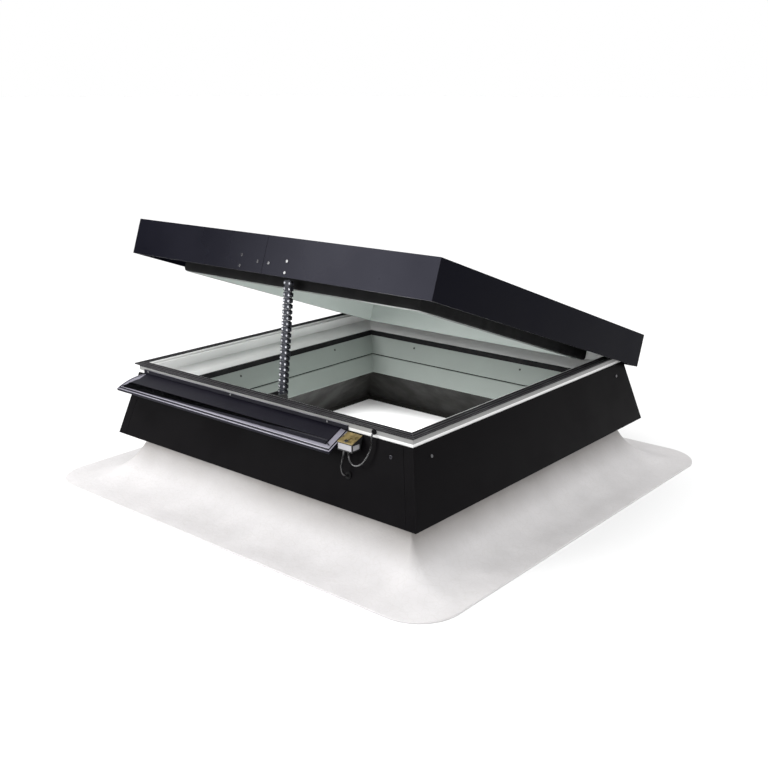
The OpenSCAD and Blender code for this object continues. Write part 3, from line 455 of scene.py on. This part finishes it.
def sash_plastic():
    return coated("sash_plastic", (0.011, 0.0095, 0.0095), 0.35, 0.5, variation=0.15, scale=10.0,
                  fine=500.0, depth=0.03, wear_and_highlight=0.3, worn_and_lit=(0.12, 0.11, 0.105), dust=0.02, specular=0.2)


# Painted shade: the sash's inner faces coloured grey-green for shade under green light
def sash_ring(colours):
    return coated("sash_ring", colours.sash, 0.32, 0.48, variation=0.07, scale=5.0, fine=400.0, depth=0.03,
                  wear_and_highlight=0.2, worn_and_lit=(0.5, 0.55, 0.52), dust=0.03)


# Painted shade: white frame coloured grey under the gasket's overhang
def frame_band(colours):
    return coated("frame_band", colours.frame_band, 0.3, 0.45, variation=0.06, scale=8.0, fine=400.0,
                  depth=0.02, stretch=(0.3, 0.3, 1), wear_and_highlight=0.2, worn_and_lit=(0.6, 0.6, 0.6), dust=0.06)


def dark_rivet():
    return coated("dark_rivet", (0.02, 0.02, 0.026), 0.06, 0.16, variation=0.2, scale=60.0, fine=900.0,
                  depth=0.01, wear_and_highlight=0.1, worn_and_lit=(0.2, 0.2, 0.22), dust=0.0, coat=1.0)


def dark_plastic():
    return coated("moulded_black", (0.012, 0.012, 0.013), 0.4, 0.55, variation=0.2, scale=40.0, fine=900.0,
                  depth=0.05, wear_and_highlight=0.25, worn_and_lit=(0.08, 0.08, 0.085), dust=0.05)


def plated_steel():
    return coated("plated_steel", (0.52, 0.52, 0.53), 0.22, 0.4, variation=0.15, scale=60.0, fine=900.0,
                  depth=0.01, wear_and_highlight=0.3, worn_and_lit=(0.75, 0.75, 0.76), dust=0.05, metallic=1.0)


def chain_steel():
    return coated("chain_blued", (0.030, 0.032, 0.042), 0.3, 0.5, variation=0.3, scale=70.0, fine=700.0,
                  depth=0.03, wear_and_highlight=0.5, worn_and_lit=(0.17, 0.17, 0.20), dust=0.0, metallic=0.5)


def pin_steel():
    return coated("pin_steel", (0.6, 0.61, 0.65), 0.18, 0.32, variation=0.12, scale=70.0, fine=700.0,
                  depth=0.01, wear_and_highlight=0.3, worn_and_lit=(0.9, 0.9, 0.92), dust=0.0, metallic=1.0)


def drawn_aluminium():
    return coated("drawn_aluminium", (0.56, 0.56, 0.57), 0.3, 0.45, variation=0.08, scale=50.0, fine=500.0,
                  depth=0.02, stretch=(0.05, 1, 1), wear_and_highlight=0.2, worn_and_lit=(0.8, 0.8, 0.8), dust=0.05, metallic=1.0)


def yellow_plate():
    return coated("yellow_plate", (0.27, 0.205, 0.085), 0.25, 0.5, variation=0.62, scale=120.0, fine=500.0,
                  depth=0.06, wear_and_highlight=0.5, worn_and_lit=(0.75, 0.68, 0.45), dust=0.0, metallic=0.55)


def bare_label():
    return coated("bare_label", (0.4, 0.395, 0.415), 0.4, 0.55, variation=0.05, scale=90.0, fine=900.0,
                  depth=0.01, wear_and_highlight=0.3, worn_and_lit=(0.45, 0.45, 0.46), dust=0.0)


def foam_board():
    return coated("foam_board", (0.66, 0.6, 0.42), 0.8, 0.95, variation=0.1, scale=40.0, fine=450.0,
                  depth=0.4, wear_and_highlight=0.0, dust=0.0, specular=0.2)


def mineral_board():
    return coated("mineral_board", (0.4, 0.4, 0.39), 0.85, 0.98, variation=0.15, scale=60.0, fine=300.0,
                  depth=0.5, wear_and_highlight=0.0, dust=0.0, specular=0.15)


def cable_sheath():
    return coated("cable_sheath", (0.008, 0.008, 0.009), 0.14, 0.24, variation=0.2, scale=80.0, fine=900.0,
                  depth=0.02, wear_and_highlight=0.0, dust=0.0, coat=0.6)


def pane(name, colour):
    """A pane: clear, with faint smears in its roughness."""
    if name in bpy.data.materials:
        return bpy.data.materials[name]
    material = bpy.data.materials.new(name)
    material.use_nodes = True
    tree = material.node_tree
    shader = tree.nodes["Principled BSDF"]
    shader.inputs["Transmission Weight"].default_value = 1.0
    shader.inputs["IOR"].default_value = 1.5
    grain = place_group(tree, grain_group(), Colour=rgba(colour), Variation=0.03, Scale=3.0,
                        Smooth=0.0, Rough=0.035, Fine_Scale=40.0)
    tree.links.new(grain.outputs["Colour"], shader.inputs["Base Color"])
    tree.links.new(grain.outputs["Roughness"], shader.inputs["Roughness"])
    return material


def outer_glass(colours):
    return pane("outer_glass", colours.glass)


def inner_glass(colours):
    return pane("inner_glass", tuple(channel * 0.97 for channel in colours.glass))


# ---- Mesh helpers ----

def link_piece(name, mesh):
    piece = bpy.data.objects.new(name, mesh)
    bpy.context.scene.collection.objects.link(piece)
    return piece


def even_shading(piece):
    """Keeps broad faces flat and rounded edges smooth."""
    for face in piece.data.polygons:
        face.use_smooth = True
    weighted = piece.modifiers.new("even_shading", "WEIGHTED_NORMAL")
    weighted.weight = 100
    weighted.keep_sharp = True


def stand_for(piece, node, materials):
    """Gives a piece its materials, its body and its node."""
    for material in materials:
        piece.data.materials.append(material)
    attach(piece, frame["nodes"][node]["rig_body"])
    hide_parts(node)


def rounded_copy(node, width, material, segments=2):
    """A node's form with its sharp edges rounded; the new edge faces are marked for the paler edge colour of
    rubbed paint and painted highlight.
    """
    weld, sliver = 0.002 * MM, 0.001 * MM
    flat_angle, sharp_angle = math.radians(0.6), math.radians(28)
    form = bmesh.new()
    form.from_mesh(frame["nodes"][node].data)
    bmesh.ops.remove_doubles(form, verts=form.verts, dist=weld)
    bmesh.ops.dissolve_limit(form, angle_limit=flat_angle, verts=form.verts, edges=form.edges)
    worn_and_lit = form.faces.layers.float.new("worn_and_lit_edge")
    sharp = [edge for edge in form.edges
             if len(edge.link_faces) == 2 and edge.calc_face_angle() > sharp_angle]
    made = bmesh.ops.bevel(form, geom=sharp, offset=width, offset_type="OFFSET", segments=segments,
                           profile=0.5, clamp_overlap=True, affect="EDGES")
    for face in made["faces"]:
        face[worn_and_lit] = 1.0
    bmesh.ops.dissolve_degenerate(form, dist=sliver, edges=form.edges[:])
    mesh = bpy.data.meshes.new(node + "_formed")
    form.to_mesh(mesh)
    form.free()
    piece = link_piece(node + "_formed", mesh)
    even_shading(piece)
    stand_for(piece, node, [material])
    return piece


def cut_faces(piece, planes):
    """Cuts a piece's faces along planes, given as (point, normal), so that their sides can differ."""
    form = bmesh.new()
    form.from_mesh(piece.data)
    for point, normal in planes:
        bmesh.ops.bisect_plane(form, geom=form.verts[:] + form.edges[:] + form.faces[:], dist=0.001 * MM,
                               plane_co=point, plane_no=normal)
    form.to_mesh(piece.data)
    form.free()


def refinish(piece, material, belongs):
    """Gives another finish to the faces whose centre passes a test."""
    piece.data.materials.append(material)
    for face in piece.data.polygons:
        if belongs(face):
            face.material_index = len(piece.data.materials) - 1


def reach_of(point):
    """Half width of the square ring round the centre that a point lies on."""
    return max(abs(point.x), abs(point.y))


def closed_point(point):
    """Where a point of the open lid is when the lid is closed."""
    return Matrix.Rotation(LID_OPEN, 3, "X") @ (point - LID_PIVOT) + LID_PIVOT


def finish_nodes(nodes, width, material, segments=2):
    for node in nodes:
        rounded_copy(node, width, material, segments)


# ---- Kerb skin ----

def square_loop(half, height, radius, corner_steps, side_steps):
    """Points round a square with rounded corners, at one height."""
    points = []
    for quarter in range(4):
        turn = quarter * math.pi / 2
        centre = half - radius
        for step in range(corner_steps + 1):
            angle = turn + step * math.pi / 2 / corner_steps
            corner_x = centre * (math.cos(turn) - math.sin(turn))
            corner_y = centre * (math.sin(turn) + math.cos(turn))
            points.append(Vector((corner_x + radius * math.cos(angle),
                                  corner_y + radius * math.sin(angle), height)))
        start = points[-1]
        side = Vector((-math.sin(turn), math.cos(turn), 0))
        along = Vector((-math.cos(turn), -math.sin(turn), 0))
        end = side * half + along * centre + Vector((0, 0, height))
        points += [start.lerp(end, step / side_steps) for step in range(1, side_steps)]
    return points


def skin_section(sizes):
    """Closed section of the skin as (half width, height), and the indexes of the inner faces that get the
    near-black painted shade.
    """
    box_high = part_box("kerb_upstand")[1]
    lining_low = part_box("lining_lower")[0]
    thick = sizes.skin_thickness
    flange = box_high.x
    top = box_high.z
    flat_end = flange - 43.5 * MM
    flare = 150 * MM
    slope = math.radians(62)
    wall = 424 * MM
    mouth = 452 * MM
    foot = 14 * MM
    in_top = 382.8 * MM
    in_low = 329.2 * MM
    in_low_z = lining_low.z
    end_x = flat_end - flare * math.sin(slope)
    wall_foot = thick + flare * (1 - math.cos(slope)) + (end_x - wall) * math.tan(slope)
    steps = 14
    outer = [(flange, 0.0), (flange, thick * 0.7), (flange - 1.2 * MM, thick)]
    outer += [(flange - inwards, thick) for inwards in (16 * MM, 30 * MM)]
    for step in range(steps + 1):
        angle = slope * step / steps
        outer.append((flat_end - flare * math.sin(angle), thick + flare * (1 - math.cos(angle))))
    outer += [(wall, wall_foot), (wall, top)]
    inner = [(in_top, top), (in_low, in_low_z), (mouth, foot), (mouth, 0.0), (mouth + thick, 0.0),
             (mouth + thick, foot + thick), (in_low + 2 * thick, in_low_z + thick),
             (in_top + thick, top - thick), (wall - thick, top - thick), (wall - thick, wall_foot)]
    under = []
    for step in range(steps, -1, -1):
        angle = slope * step / steps
        under.append((flat_end - (flare + thick) * math.sin(angle),
                      thick + flare - (flare + thick) * math.cos(angle)))
    section = outer + inner + under
    painted_shade_rows = set(range(len(outer), len(outer) + 3))
    return section, painted_shade_rows


def make_skin(sizes, colours):
    """The skin, swept round the square; its flange ripples more the further out it lies."""
    section, painted_shade_rows = skin_section(sizes)
    flange = section[0][0]
    least_radius = 4 * MM
    radius_fall = 0.55
    corner_steps, side_steps = 12, 40
    ripple_start, ripple_ramp = 0.47, 0.1
    underside = 1 * MM
    trim_share = 0.0016
    form = bmesh.new()
    loops = []
    for half, height in section:
        radius = max(least_radius, sizes.flange_corner - (flange - half) * radius_fall)
        loop = []
        for point in square_loop(half, height, radius, corner_steps, side_steps):
            reach = min(max((reach_of(point) - ripple_start) / ripple_ramp, 0.0), 1.0)
            wave = noise.noise(point * 5.0) + 0.4 * noise.noise(point * 14.0)
            if height > underside:
                point.z += sizes.flange_ripple * wave * reach
            trim = 1 - trim_share * abs(noise.noise(point * 6.0)) * reach
            loop.append(form.verts.new((point.x * trim, point.y * trim, max(point.z, 0.0))))
        loops.append(loop)
    count = len(loops)
    for row in range(count):
        near, far = loops[row], loops[(row + 1) % count]
        for place in range(len(near)):
            ahead = (place + 1) % len(near)
            face = form.faces.new((near[place], near[ahead], far[ahead], far[place]))
            # The inner faces take the near-black painted shade
            face.material_index = 1 if row in painted_shade_rows else 0
    bmesh.ops.recalc_face_normals(form, faces=form.faces)
    mesh = bpy.data.meshes.new("kerb_skin")
    form.to_mesh(mesh)
    form.free()
    piece = link_piece("kerb_skin", mesh)
    for face in mesh.polygons:
        face.use_smooth = True
    piece.modifiers.new("soft_form", "EDGE_SPLIT").split_angle = math.radians(38)
    stand_for(piece, "kerb_upstand", [laminate(colours), laminate_inside_shade(colours)])


# ---- Hood ----

def hood_outline(low, high):
    """Plan of the hood from its back left corner round the front to its back right corner."""
    cut_back = 36 * MM
    start = Vector((low.x + cut_back, high.y))
    pull = Vector((low.x + 1 * MM, low.y + 46 * MM))
    tip = Vector((low.x, low.y))
    steps, front_steps, side_steps = 10, 30, 5
    points = []
    for step in range(steps + 1):
        t = step / steps
        points.append(start * (1 - t) ** 2 + pull * 2 * t * (1 - t) + tip * t ** 2)
    right = Vector((high.x, low.y))
    points += [tip.lerp(right, step / front_steps) for step in range(1, front_steps + 1)]
    back = Vector((high.x, high.y))
    points += [right.lerp(back, step / side_steps) for step in range(1, side_steps + 1)]
    return points


def inset_path(points, distance):
    """The outline moved inwards with mitred corners; its two ends stay on the back line."""
    moved = []
    last = len(points) - 1
    for place, point in enumerate(points):
        before = (point - points[max(place - 1, 0)])
        after = (points[min(place + 1, last)] - point)
        before = before.normalized() if before.length > 0 else after.normalized()
        after = after.normalized() if after.length > 0 else before
        normal = Vector((-(before.y + after.y), before.x + after.x)).normalized()
        square = Vector((-before.y, before.x))
        moved.append(point + normal * (distance / max(normal.dot(square), 0.35)))
    moved[0].y = points[0].y
    moved[-1].y = points[-1].y
    return moved


def make_hood(sizes, colours):
    low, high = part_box("hood")
    upstand = 10 * MM
    panel_back = high.z - upstand
    panel_fall, panel_run = 25.0, 50.7
    slope = panel_fall / panel_run
    outline = hood_outline(low, high)
    border = sizes.hood_border
    # Rows from the hem inwards: distance in, height over the panel's plane, and the finish that follows, 1
    # being the bright border of painted highlight
    rows = [(0.4 * MM, -9.5 * MM, 0), (0.0, -8.2 * MM, 0), (0.0, -3.6 * MM, 1),
            (1.0 * MM, -2.8 * MM, 1), (2.6 * MM, -3.0 * MM, 0), (3.2 * MM, -5.6 * MM, 0),
            (5.6 * MM, -5.6 * MM, 0), (6.2 * MM, -2.8 * MM, 1), (7.2 * MM, -2.2 * MM, 1),
            (border + 5 * MM, -1.4 * MM, 0), (border + 5.8 * MM, -2.6 * MM, 0),
            (border + 7.4 * MM, 0.0, 0), (border + 9.0 * MM, 0.25 * MM, 0)]
    form = bmesh.new()
    worn_and_lit = form.faces.layers.float.new("worn_and_lit_edge")
    lines = []
    for distance, drop, bright in rows:
        line = []
        for point in inset_path(outline, distance):
            plane = panel_back - slope * (high.y - point.y)
            line.append(form.verts.new((point.x, point.y, plane + drop)))
        lines.append(line)
    for row in range(len(lines) - 1):
        for place in range(len(outline) - 1):
            face = form.faces.new((lines[row][place], lines[row][place + 1],
                                   lines[row + 1][place + 1], lines[row + 1][place]))
            face.material_index = rows[row][2]
            face[worn_and_lit] = 1.0 if row in (2, 7) else 0.0
    form.faces.new(lines[-1])
    bmesh.ops.recalc_face_normals(form, faces=form.faces)
    mesh = bpy.data.meshes.new("hood_shell")
    form.to_mesh(mesh)
    form.free()
    piece = link_piece("hood_shell", mesh)
    shell = piece.modifiers.new("sheet", "SOLIDIFY")
    shell.thickness = 1.2 * MM
    shell.offset = -1
    even_shading(piece)
    stand_for(piece, "hood", [hood_blue(colours), hood_border(colours)])
    make_hood_upstand(low, high, panel_back, colours)


def make_hood_upstand(low, high, panel_back, colours):
    """The hood's back edge, folded up against the frame and hemmed at its top."""
    thick = 2 * MM
    left = low.x + 37 * MM
    section = [(high.y, panel_back - 1 * MM), (high.y, high.z - 0.8 * MM), (high.y - 0.8 * MM, high.z),
               (high.y - thick, high.z - 0.8 * MM), (high.y - thick, panel_back + 1.5 * MM),
               (high.y - thick - 1.5 * MM, panel_back - 0.6 * MM)]
    form = bmesh.new()
    worn_and_lit = form.faces.layers.float.new("worn_and_lit_edge")
    ends = [[form.verts.new((x, y, z)) for y, z in section] for x in (left, high.x)]
    for place in range(len(section)):
        ahead = (place + 1) % len(section)
        face = form.faces.new((ends[0][place], ends[1][place], ends[1][ahead], ends[0][ahead]))
        face[worn_and_lit] = 1.0 if place in (1, 2) else 0.0
    form.faces.new(ends[0])
    form.faces.new(list(reversed(ends[1])))
    bmesh.ops.recalc_face_normals(form, faces=form.faces)
    mesh = bpy.data.meshes.new("hood_upstand")
    form.to_mesh(mesh)
    form.free()
    piece = link_piece("hood_upstand", mesh)
    even_shading(piece)
    mesh.materials.append(hood_blue(colours))
    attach(piece, frame["nodes"]["hood"]["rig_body"])


# ---- Leads ----

def smooth_route(route):
    """Points of a smooth line through a route given in millimetres, in metres."""
    points = [Vector(point) * MM for point in route]
    padded = [points[0] * 2 - points[1]] + points + [points[-1] * 2 - points[-2]]
    smooth = []
    steps = 3
    for place in range(1, len(padded) - 2):
        a, b, c, d = padded[place - 1:place + 3]
        for step in range(steps):
            t = step / steps
            smooth.append(0.5 * (2 * b + (c - a) * t + (2 * a - 5 * b + 4 * c - d) * t ** 2
                                 + (3 * b - a - 3 * c + d) * t ** 3))
    smooth.append(points[-1])
    return smooth


def make_lead(node, route, diameter):
    points = smooth_route(route)
    curve = bpy.data.curves.new(node + "_sheath", "CURVE")
    curve.dimensions = "3D"
    curve.bevel_depth = diameter / 2
    curve.bevel_resolution = 5
    curve.use_fill_caps = True
    spline = curve.splines.new("POLY")
    spline.points.add(len(points) - 1)
    for place, point in zip(spline.points, points):
        place.co = (point.x, point.y, point.z, 1.0)
    spline.use_smooth = True
    piece = link_piece(node + "_sheath", curve)
    stand_for(piece, node, [cable_sheath()])


# ---- Stage ----

def make_floor():
    floor_mesh = bpy.data.meshes.new("floor")
    reach = 120.0
    corners = [(-reach, -reach, 0), (reach, -reach, 0), (reach, reach, 0), (-reach, reach, 0)]
    floor_mesh.from_pydata(corners, [], [(0, 1, 2, 3)])
    floor = link_piece("floor", floor_mesh)
    floor.location.z = -0.5 * MM
    floor_mesh.materials.append(coated("floor_pale", (0.95, 0.95, 0.95), 0.85, 0.95, variation=0.003,
                                       wear_and_highlight=0.0, dust=0.0, specular=0.1))


def make_sky(scene):
    """White where the camera sees it; as light it is dim near the ground and bright overhead."""
    world = bpy.data.worlds.new("studio")
    world.use_nodes = True
    sky = world.node_tree
    direction = sky.nodes.new("ShaderNodeTexCoord")
    split = sky.nodes.new("ShaderNodeSeparateXYZ")
    sky.links.new(direction.outputs["Generated"], split.inputs["Vector"])
    dome = add_range(sky, split.outputs["Z"], 0.25, 0.8, 0.10, 1.52)
    seen = sky.nodes.new("ShaderNodeLightPath")
    strength = add_math(sky, "MAXIMUM", dome, seen.outputs["Is Camera Ray"])
    sky.nodes["Background"].inputs["Color"].default_value = (1, 1, 1, 1)
    sky.links.new(strength, sky.nodes["Background"].inputs["Strength"])
    scene.world = world


def aim(thing, target):
    """Turns a lamp or camera towards a point."""
    thing.rotation_euler = (target - thing.location).to_track_quat("-Z", "Y").to_euler()


def make_lamps():
    """The lamps, which neither the camera nor the glass shows; the one below points straight down."""
    for name, kind, place, size, power in LAMPS:
        light = bpy.data.lights.new(name, kind)
        if kind == "AREA":
            light.size = size
        else:
            light.shadow_soft_size = size
        light.energy = power
        lamp = link_piece(name, light)
        lamp.location = place
        lamp.visible_camera = False
        lamp.visible_transmission = False
        if name != "below":
            aim(lamp, LAMP_TARGET)


def make_camera(scene):
    camera = bpy.data.cameras.new("camera")
    camera.lens = 47.79
    camera.sensor_width = 36.0
    viewer = link_piece("camera", camera)
    viewer.location = (1.6804, -2.0020, 0.9938)
    target = Vector((-0.00346, -0.00317, 0.2366))
    aim(viewer, target)
    scene.camera = viewer


# ---- Operators ----

class SKYLIGHT_OT_stage(bpy.types.Operator):
    """Make the pale floor, the soft lights, the sky and the camera"""

    bl_idname = "skylight.stage"
    bl_label = "Stage"

    def execute(self, context):
        scene = context.scene
        make_floor()
        make_sky(scene)
        make_lamps()
        make_camera(scene)
        scene.view_settings.view_transform = "Standard"
        return {"FINISHED"}


class SKYLIGHT_OT_kerb(bpy.types.Operator):
    """Form the kerb's moulded skin and finish its core and insulation"""

    bl_idname = "skylight.kerb"
    bl_label = "Kerb"

    def execute(self, context):
        sizes, colours = context.scene.skylight_sizes, context.scene.skylight_colours
        make_skin(sizes, colours)
        finish_nodes(["kerb_core"], sizes.profile_edge, foam_board())
        finish_nodes(["outer_insulation"], sizes.profile_edge, mineral_board())
        return {"FINISHED"}


class SKYLIGHT_OT_linings(bpy.types.Operator):
    """Finish the lining boards, their bead, the inner seal and the screws"""

    bl_idname = "skylight.linings"
    bl_label = "Linings"

    def execute(self, context):
        sizes, colours = context.scene.skylight_sizes, context.scene.skylight_colours
        finish_nodes(["lining_lower", "lining_upper"], sizes.profile_edge, lining_board(colours))
        finish_nodes(["lining_joint_seal", "inner_seal"], sizes.seal_edge, seal_black())
        finish_nodes(["lining_screws"], sizes.rivet_dome, dark_plastic(), 3)
        return {"FINISHED"}


class SKYLIGHT_OT_frame(bpy.types.Operator):
    """Finish the white frame and the ribbed rim gasket"""

    bl_idname = "skylight.frame"
    bl_label = "Fixed frame"

    def execute(self, context):
        sizes, colours = context.scene.skylight_sizes, context.scene.skylight_colours
        profile = rounded_copy("fixed_frame", sizes.profile_edge, white_profile(colours), 3)
        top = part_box("fixed_frame")[1].z
        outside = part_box("fixed_frame")[1].x - 1 * MM
        # The top 13 mm of the outer wall takes the grey painted shade
        shade_band_low, groove_low, groove_high = top - 13 * MM, top - 3.5 * MM, top - 2 * MM
        cut_faces(profile, [((0, 0, height), (0, 0, 1)) for height in (shade_band_low, groove_low, groove_high)])
        refinish(profile, frame_band(colours), lambda face: face.center.z > shade_band_low
                 and reach_of(face.center) > outside)
        refinish(profile, seal_black(), lambda face: groove_low < face.center.z < groove_high
                 and reach_of(face.center) > outside)
        gasket = rounded_copy("rim_gasket", sizes.seal_edge, rim_rubber(colours))
        cut_faces(gasket, [((x, y, 0), (x, y, 0)) for x, y in ((GASKET_LINE, 0), (-GASKET_LINE, 0),
                                                               (0, GASKET_LINE), (0, -GASKET_LINE))])
        refinish(gasket, white_profile(colours), lambda face: reach_of(face.center) < GASKET_LINE)
        return {"FINISHED"}


class SKYLIGHT_OT_cladding(bpy.types.Operator):
    """Finish the four cladding panels and their screws"""

    bl_idname = "skylight.cladding"
    bl_label = "Cladding"

    def execute(self, context):
        sizes, colours = context.scene.skylight_sizes, context.scene.skylight_colours
        panels = ["cladding_front", "cladding_back", "cladding_left", "cladding_right"]
        finish_nodes(panels, sizes.small_edge, cladding_black(colours), 3)
        finish_nodes(["cladding_screws"], sizes.rivet_dome, dark_rivet(), 3)
        return {"FINISHED"}


class SKYLIGHT_OT_drive(bpy.types.Operator):
    """Finish the chain drive inside the kerb wall"""

    bl_idname = "skylight.drive"
    bl_label = "Chain drive"

    def execute(self, context):
        sizes = context.scene.skylight_sizes
        finish_nodes(["drive_housing", "drive_gearbox"], sizes.small_edge, drawn_aluminium())
        moulded = ["drive_end_caps", "control_module", "chain_guide"]
        finish_nodes(moulded, sizes.small_edge, dark_plastic())
        finish_nodes(["drive_motor", "sprocket"], sizes.small_edge, plated_steel())
        return {"FINISHED"}


class SKYLIGHT_OT_chain(bpy.types.Operator):
    """Finish the push chain, which shortens into its outlet as the lid closes, and its bracket"""

    bl_idname = "skylight.chain"
    bl_label = "Push chain"

    def execute(self, context):
        sizes = context.scene.skylight_sizes
        plates = rounded_copy("chain_plates", sizes.small_edge, chain_steel())
        pins = rounded_copy("chain_pins", sizes.small_edge, chain_steel())
        refinish(pins, pin_steel(), lambda face: abs(face.normal.y) > 0.9)
        for piece in (plates, pins):
            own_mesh(piece)
        finish_nodes(["chain_bracket"], sizes.small_edge, chain_steel())
        finish_nodes(["chain_bracket_pin", "bracket_screws"], sizes.small_edge, plated_steel(), 3)
        return {"FINISHED"}


class SKYLIGHT_OT_hood(bpy.types.Operator):
    """Form the front hood with its bright border of painted highlight and finish its screws"""

    bl_idname = "skylight.hood"
    bl_label = "Front hood"

    def execute(self, context):
        sizes, colours = context.scene.skylight_sizes, context.scene.skylight_colours
        make_hood(sizes, colours)
        finish_nodes(["hood_screws"], sizes.rivet_dome, dark_rivet(), 3)
        return {"FINISHED"}


class SKYLIGHT_OT_terminal(bpy.types.Operator):
    """Finish the terminal box, its plate, its bare labels and the grommets"""

    bl_idname = "skylight.terminal"
    bl_label = "Terminal box"

    def execute(self, context):
        sizes = context.scene.skylight_sizes
        finish_nodes(["terminal_box"], sizes.small_edge, dark_plastic(), 3)
        finish_nodes(["terminal_plate"], sizes.small_edge, yellow_plate())
        label_edge = 0.1 * MM
        finish_nodes(["terminal_labels"], label_edge, bare_label())
        finish_nodes(["terminal_screw"], sizes.rivet_dome, dark_rivet(), 3)
        finish_nodes(["frame_grommet", "cladding_grommet"], sizes.small_edge, seal_black(), 3)
        return {"FINISHED"}


class SKYLIGHT_OT_leads(bpy.types.Operator):
    """Lay the two leads along their routes"""

    bl_idname = "skylight.leads"
    bl_label = "Leads"

    def execute(self, context):
        sizes = context.scene.skylight_sizes
        make_lead("motor_cable", MOTOR_LEAD_ROUTE, sizes.motor_lead)
        make_lead("supply_cable", SUPPLY_LEAD_ROUTE, sizes.supply_lead)
        return {"FINISHED"}


class SKYLIGHT_OT_hinges(bpy.types.Operator):
    """Finish the hinge leaves, pins and screws"""

    bl_idname = "skylight.hinges"
    bl_label = "Hinges"

    def execute(self, context):
        sizes, colours = context.scene.skylight_sizes, context.scene.skylight_colours
        finish_nodes(["hinge_leaves_fixed", "hinge_leaves_lid"], sizes.small_edge, cladding_black(colours))
        finish_nodes(["hinge_pins", "hinge_screws"], sizes.small_edge, plated_steel(), 3)
        return {"FINISHED"}


class SKYLIGHT_OT_lid(bpy.types.Operator):
    """Finish the lid's folded sheets, splices and rivets"""

    bl_idname = "skylight.lid"
    bl_label = "Lid sheet"

    def execute(self, context):
        sizes, colours = context.scene.skylight_sizes, context.scene.skylight_colours
        for node in ("lid_cladding_left", "lid_cladding_right"):
            sheet = rounded_copy(node, sizes.sheet_bend, lid_black(colours), 3)
            # Sideways faces take the less reflective copy as painted shade
            refinish(sheet, lid_side(colours), lambda face: abs(face.normal.x) > 0.7)
        splice_edge = 0.2 * MM
        finish_nodes(["splice_front", "splice_back"], splice_edge, cladding_black(colours))
        finish_nodes(["splice_rivets"], sizes.rivet_dome, dark_rivet(), 3)
        finish_nodes(["lid_carrier"], sizes.small_edge, drawn_aluminium())
        return {"FINISHED"}


class SKYLIGHT_OT_glazing(bpy.types.Operator):
    """Finish the sash, its seals and the glass unit"""

    bl_idname = "skylight.glazing"
    bl_label = "Sash and glass"

    def execute(self, context):
        sizes, colours = context.scene.skylight_sizes, context.scene.skylight_colours
        sash = rounded_copy("lid_sash", sizes.profile_edge, sash_plastic(), 3)
        lowest = min(closed_point(vertex.co).z for vertex in sash.data.vertices)
        dark_foot = 1.5 * MM
        # Inner faces above the foot take the grey-green painted shade
        refinish(sash, sash_ring(colours), lambda face: reach_of(closed_point(face.center)) < SASH_RING
                 and closed_point(face.center).z > lowest + dark_foot)
        finish_nodes(["sash_seal", "glazing_gasket"], sizes.seal_edge, seal_black())
        finish_nodes(["glass_spacer"], sizes.small_edge, dark_plastic())
        finish_nodes(["glass_outer"], sizes.small_edge, outer_glass(colours))
        finish_nodes(["glass_inner"], sizes.small_edge, inner_glass(colours))
        return {"FINISHED"}


STEPS = (
    SKYLIGHT_OT_stage, SKYLIGHT_OT_leads, SKYLIGHT_OT_kerb, SKYLIGHT_OT_linings, SKYLIGHT_OT_frame,
    SKYLIGHT_OT_cladding, SKYLIGHT_OT_drive, SKYLIGHT_OT_chain, SKYLIGHT_OT_hood, SKYLIGHT_OT_terminal,
    SKYLIGHT_OT_hinges, SKYLIGHT_OT_lid, SKYLIGHT_OT_glazing,
)


class SKYLIGHT_PT_panel(bpy.types.Panel):
    """Sidebar list of the skylight's steps"""

    bl_idname = "SKYLIGHT_PT_panel"
    bl_label = "Skylight"
    bl_space_type = "VIEW_3D"
    bl_region_type = "UI"
    bl_category = "Skylight"

    def draw(self, context):
        column = self.layout.column()
        for step in STEPS:
            column.operator(step.bl_idname)
        for group in (context.scene.skylight_sizes, context.scene.skylight_colours):
            for label in group.__annotations__:
                column.prop(group, label)


CLASSES = (SkylightSizes, SkylightColours) + STEPS + (SKYLIGHT_PT_panel,)


def register():
    for cls in CLASSES:
        bpy.utils.register_class(cls)
    bpy.types.Scene.skylight_sizes = PointerProperty(type=SkylightSizes)
    bpy.types.Scene.skylight_colours = PointerProperty(type=SkylightColours)


def unregister():
    del bpy.types.Scene.skylight_colours
    del bpy.types.Scene.skylight_sizes
    for cls in reversed(CLASSES):
        bpy.utils.unregister_class(cls)


def main():
    register()
    for step in STEPS:
        category, action = step.bl_idname.split(".")
        getattr(getattr(bpy.ops, category), action)()
    bpy.context.view_layer.update()


if __name__ == "__main__":
    main()
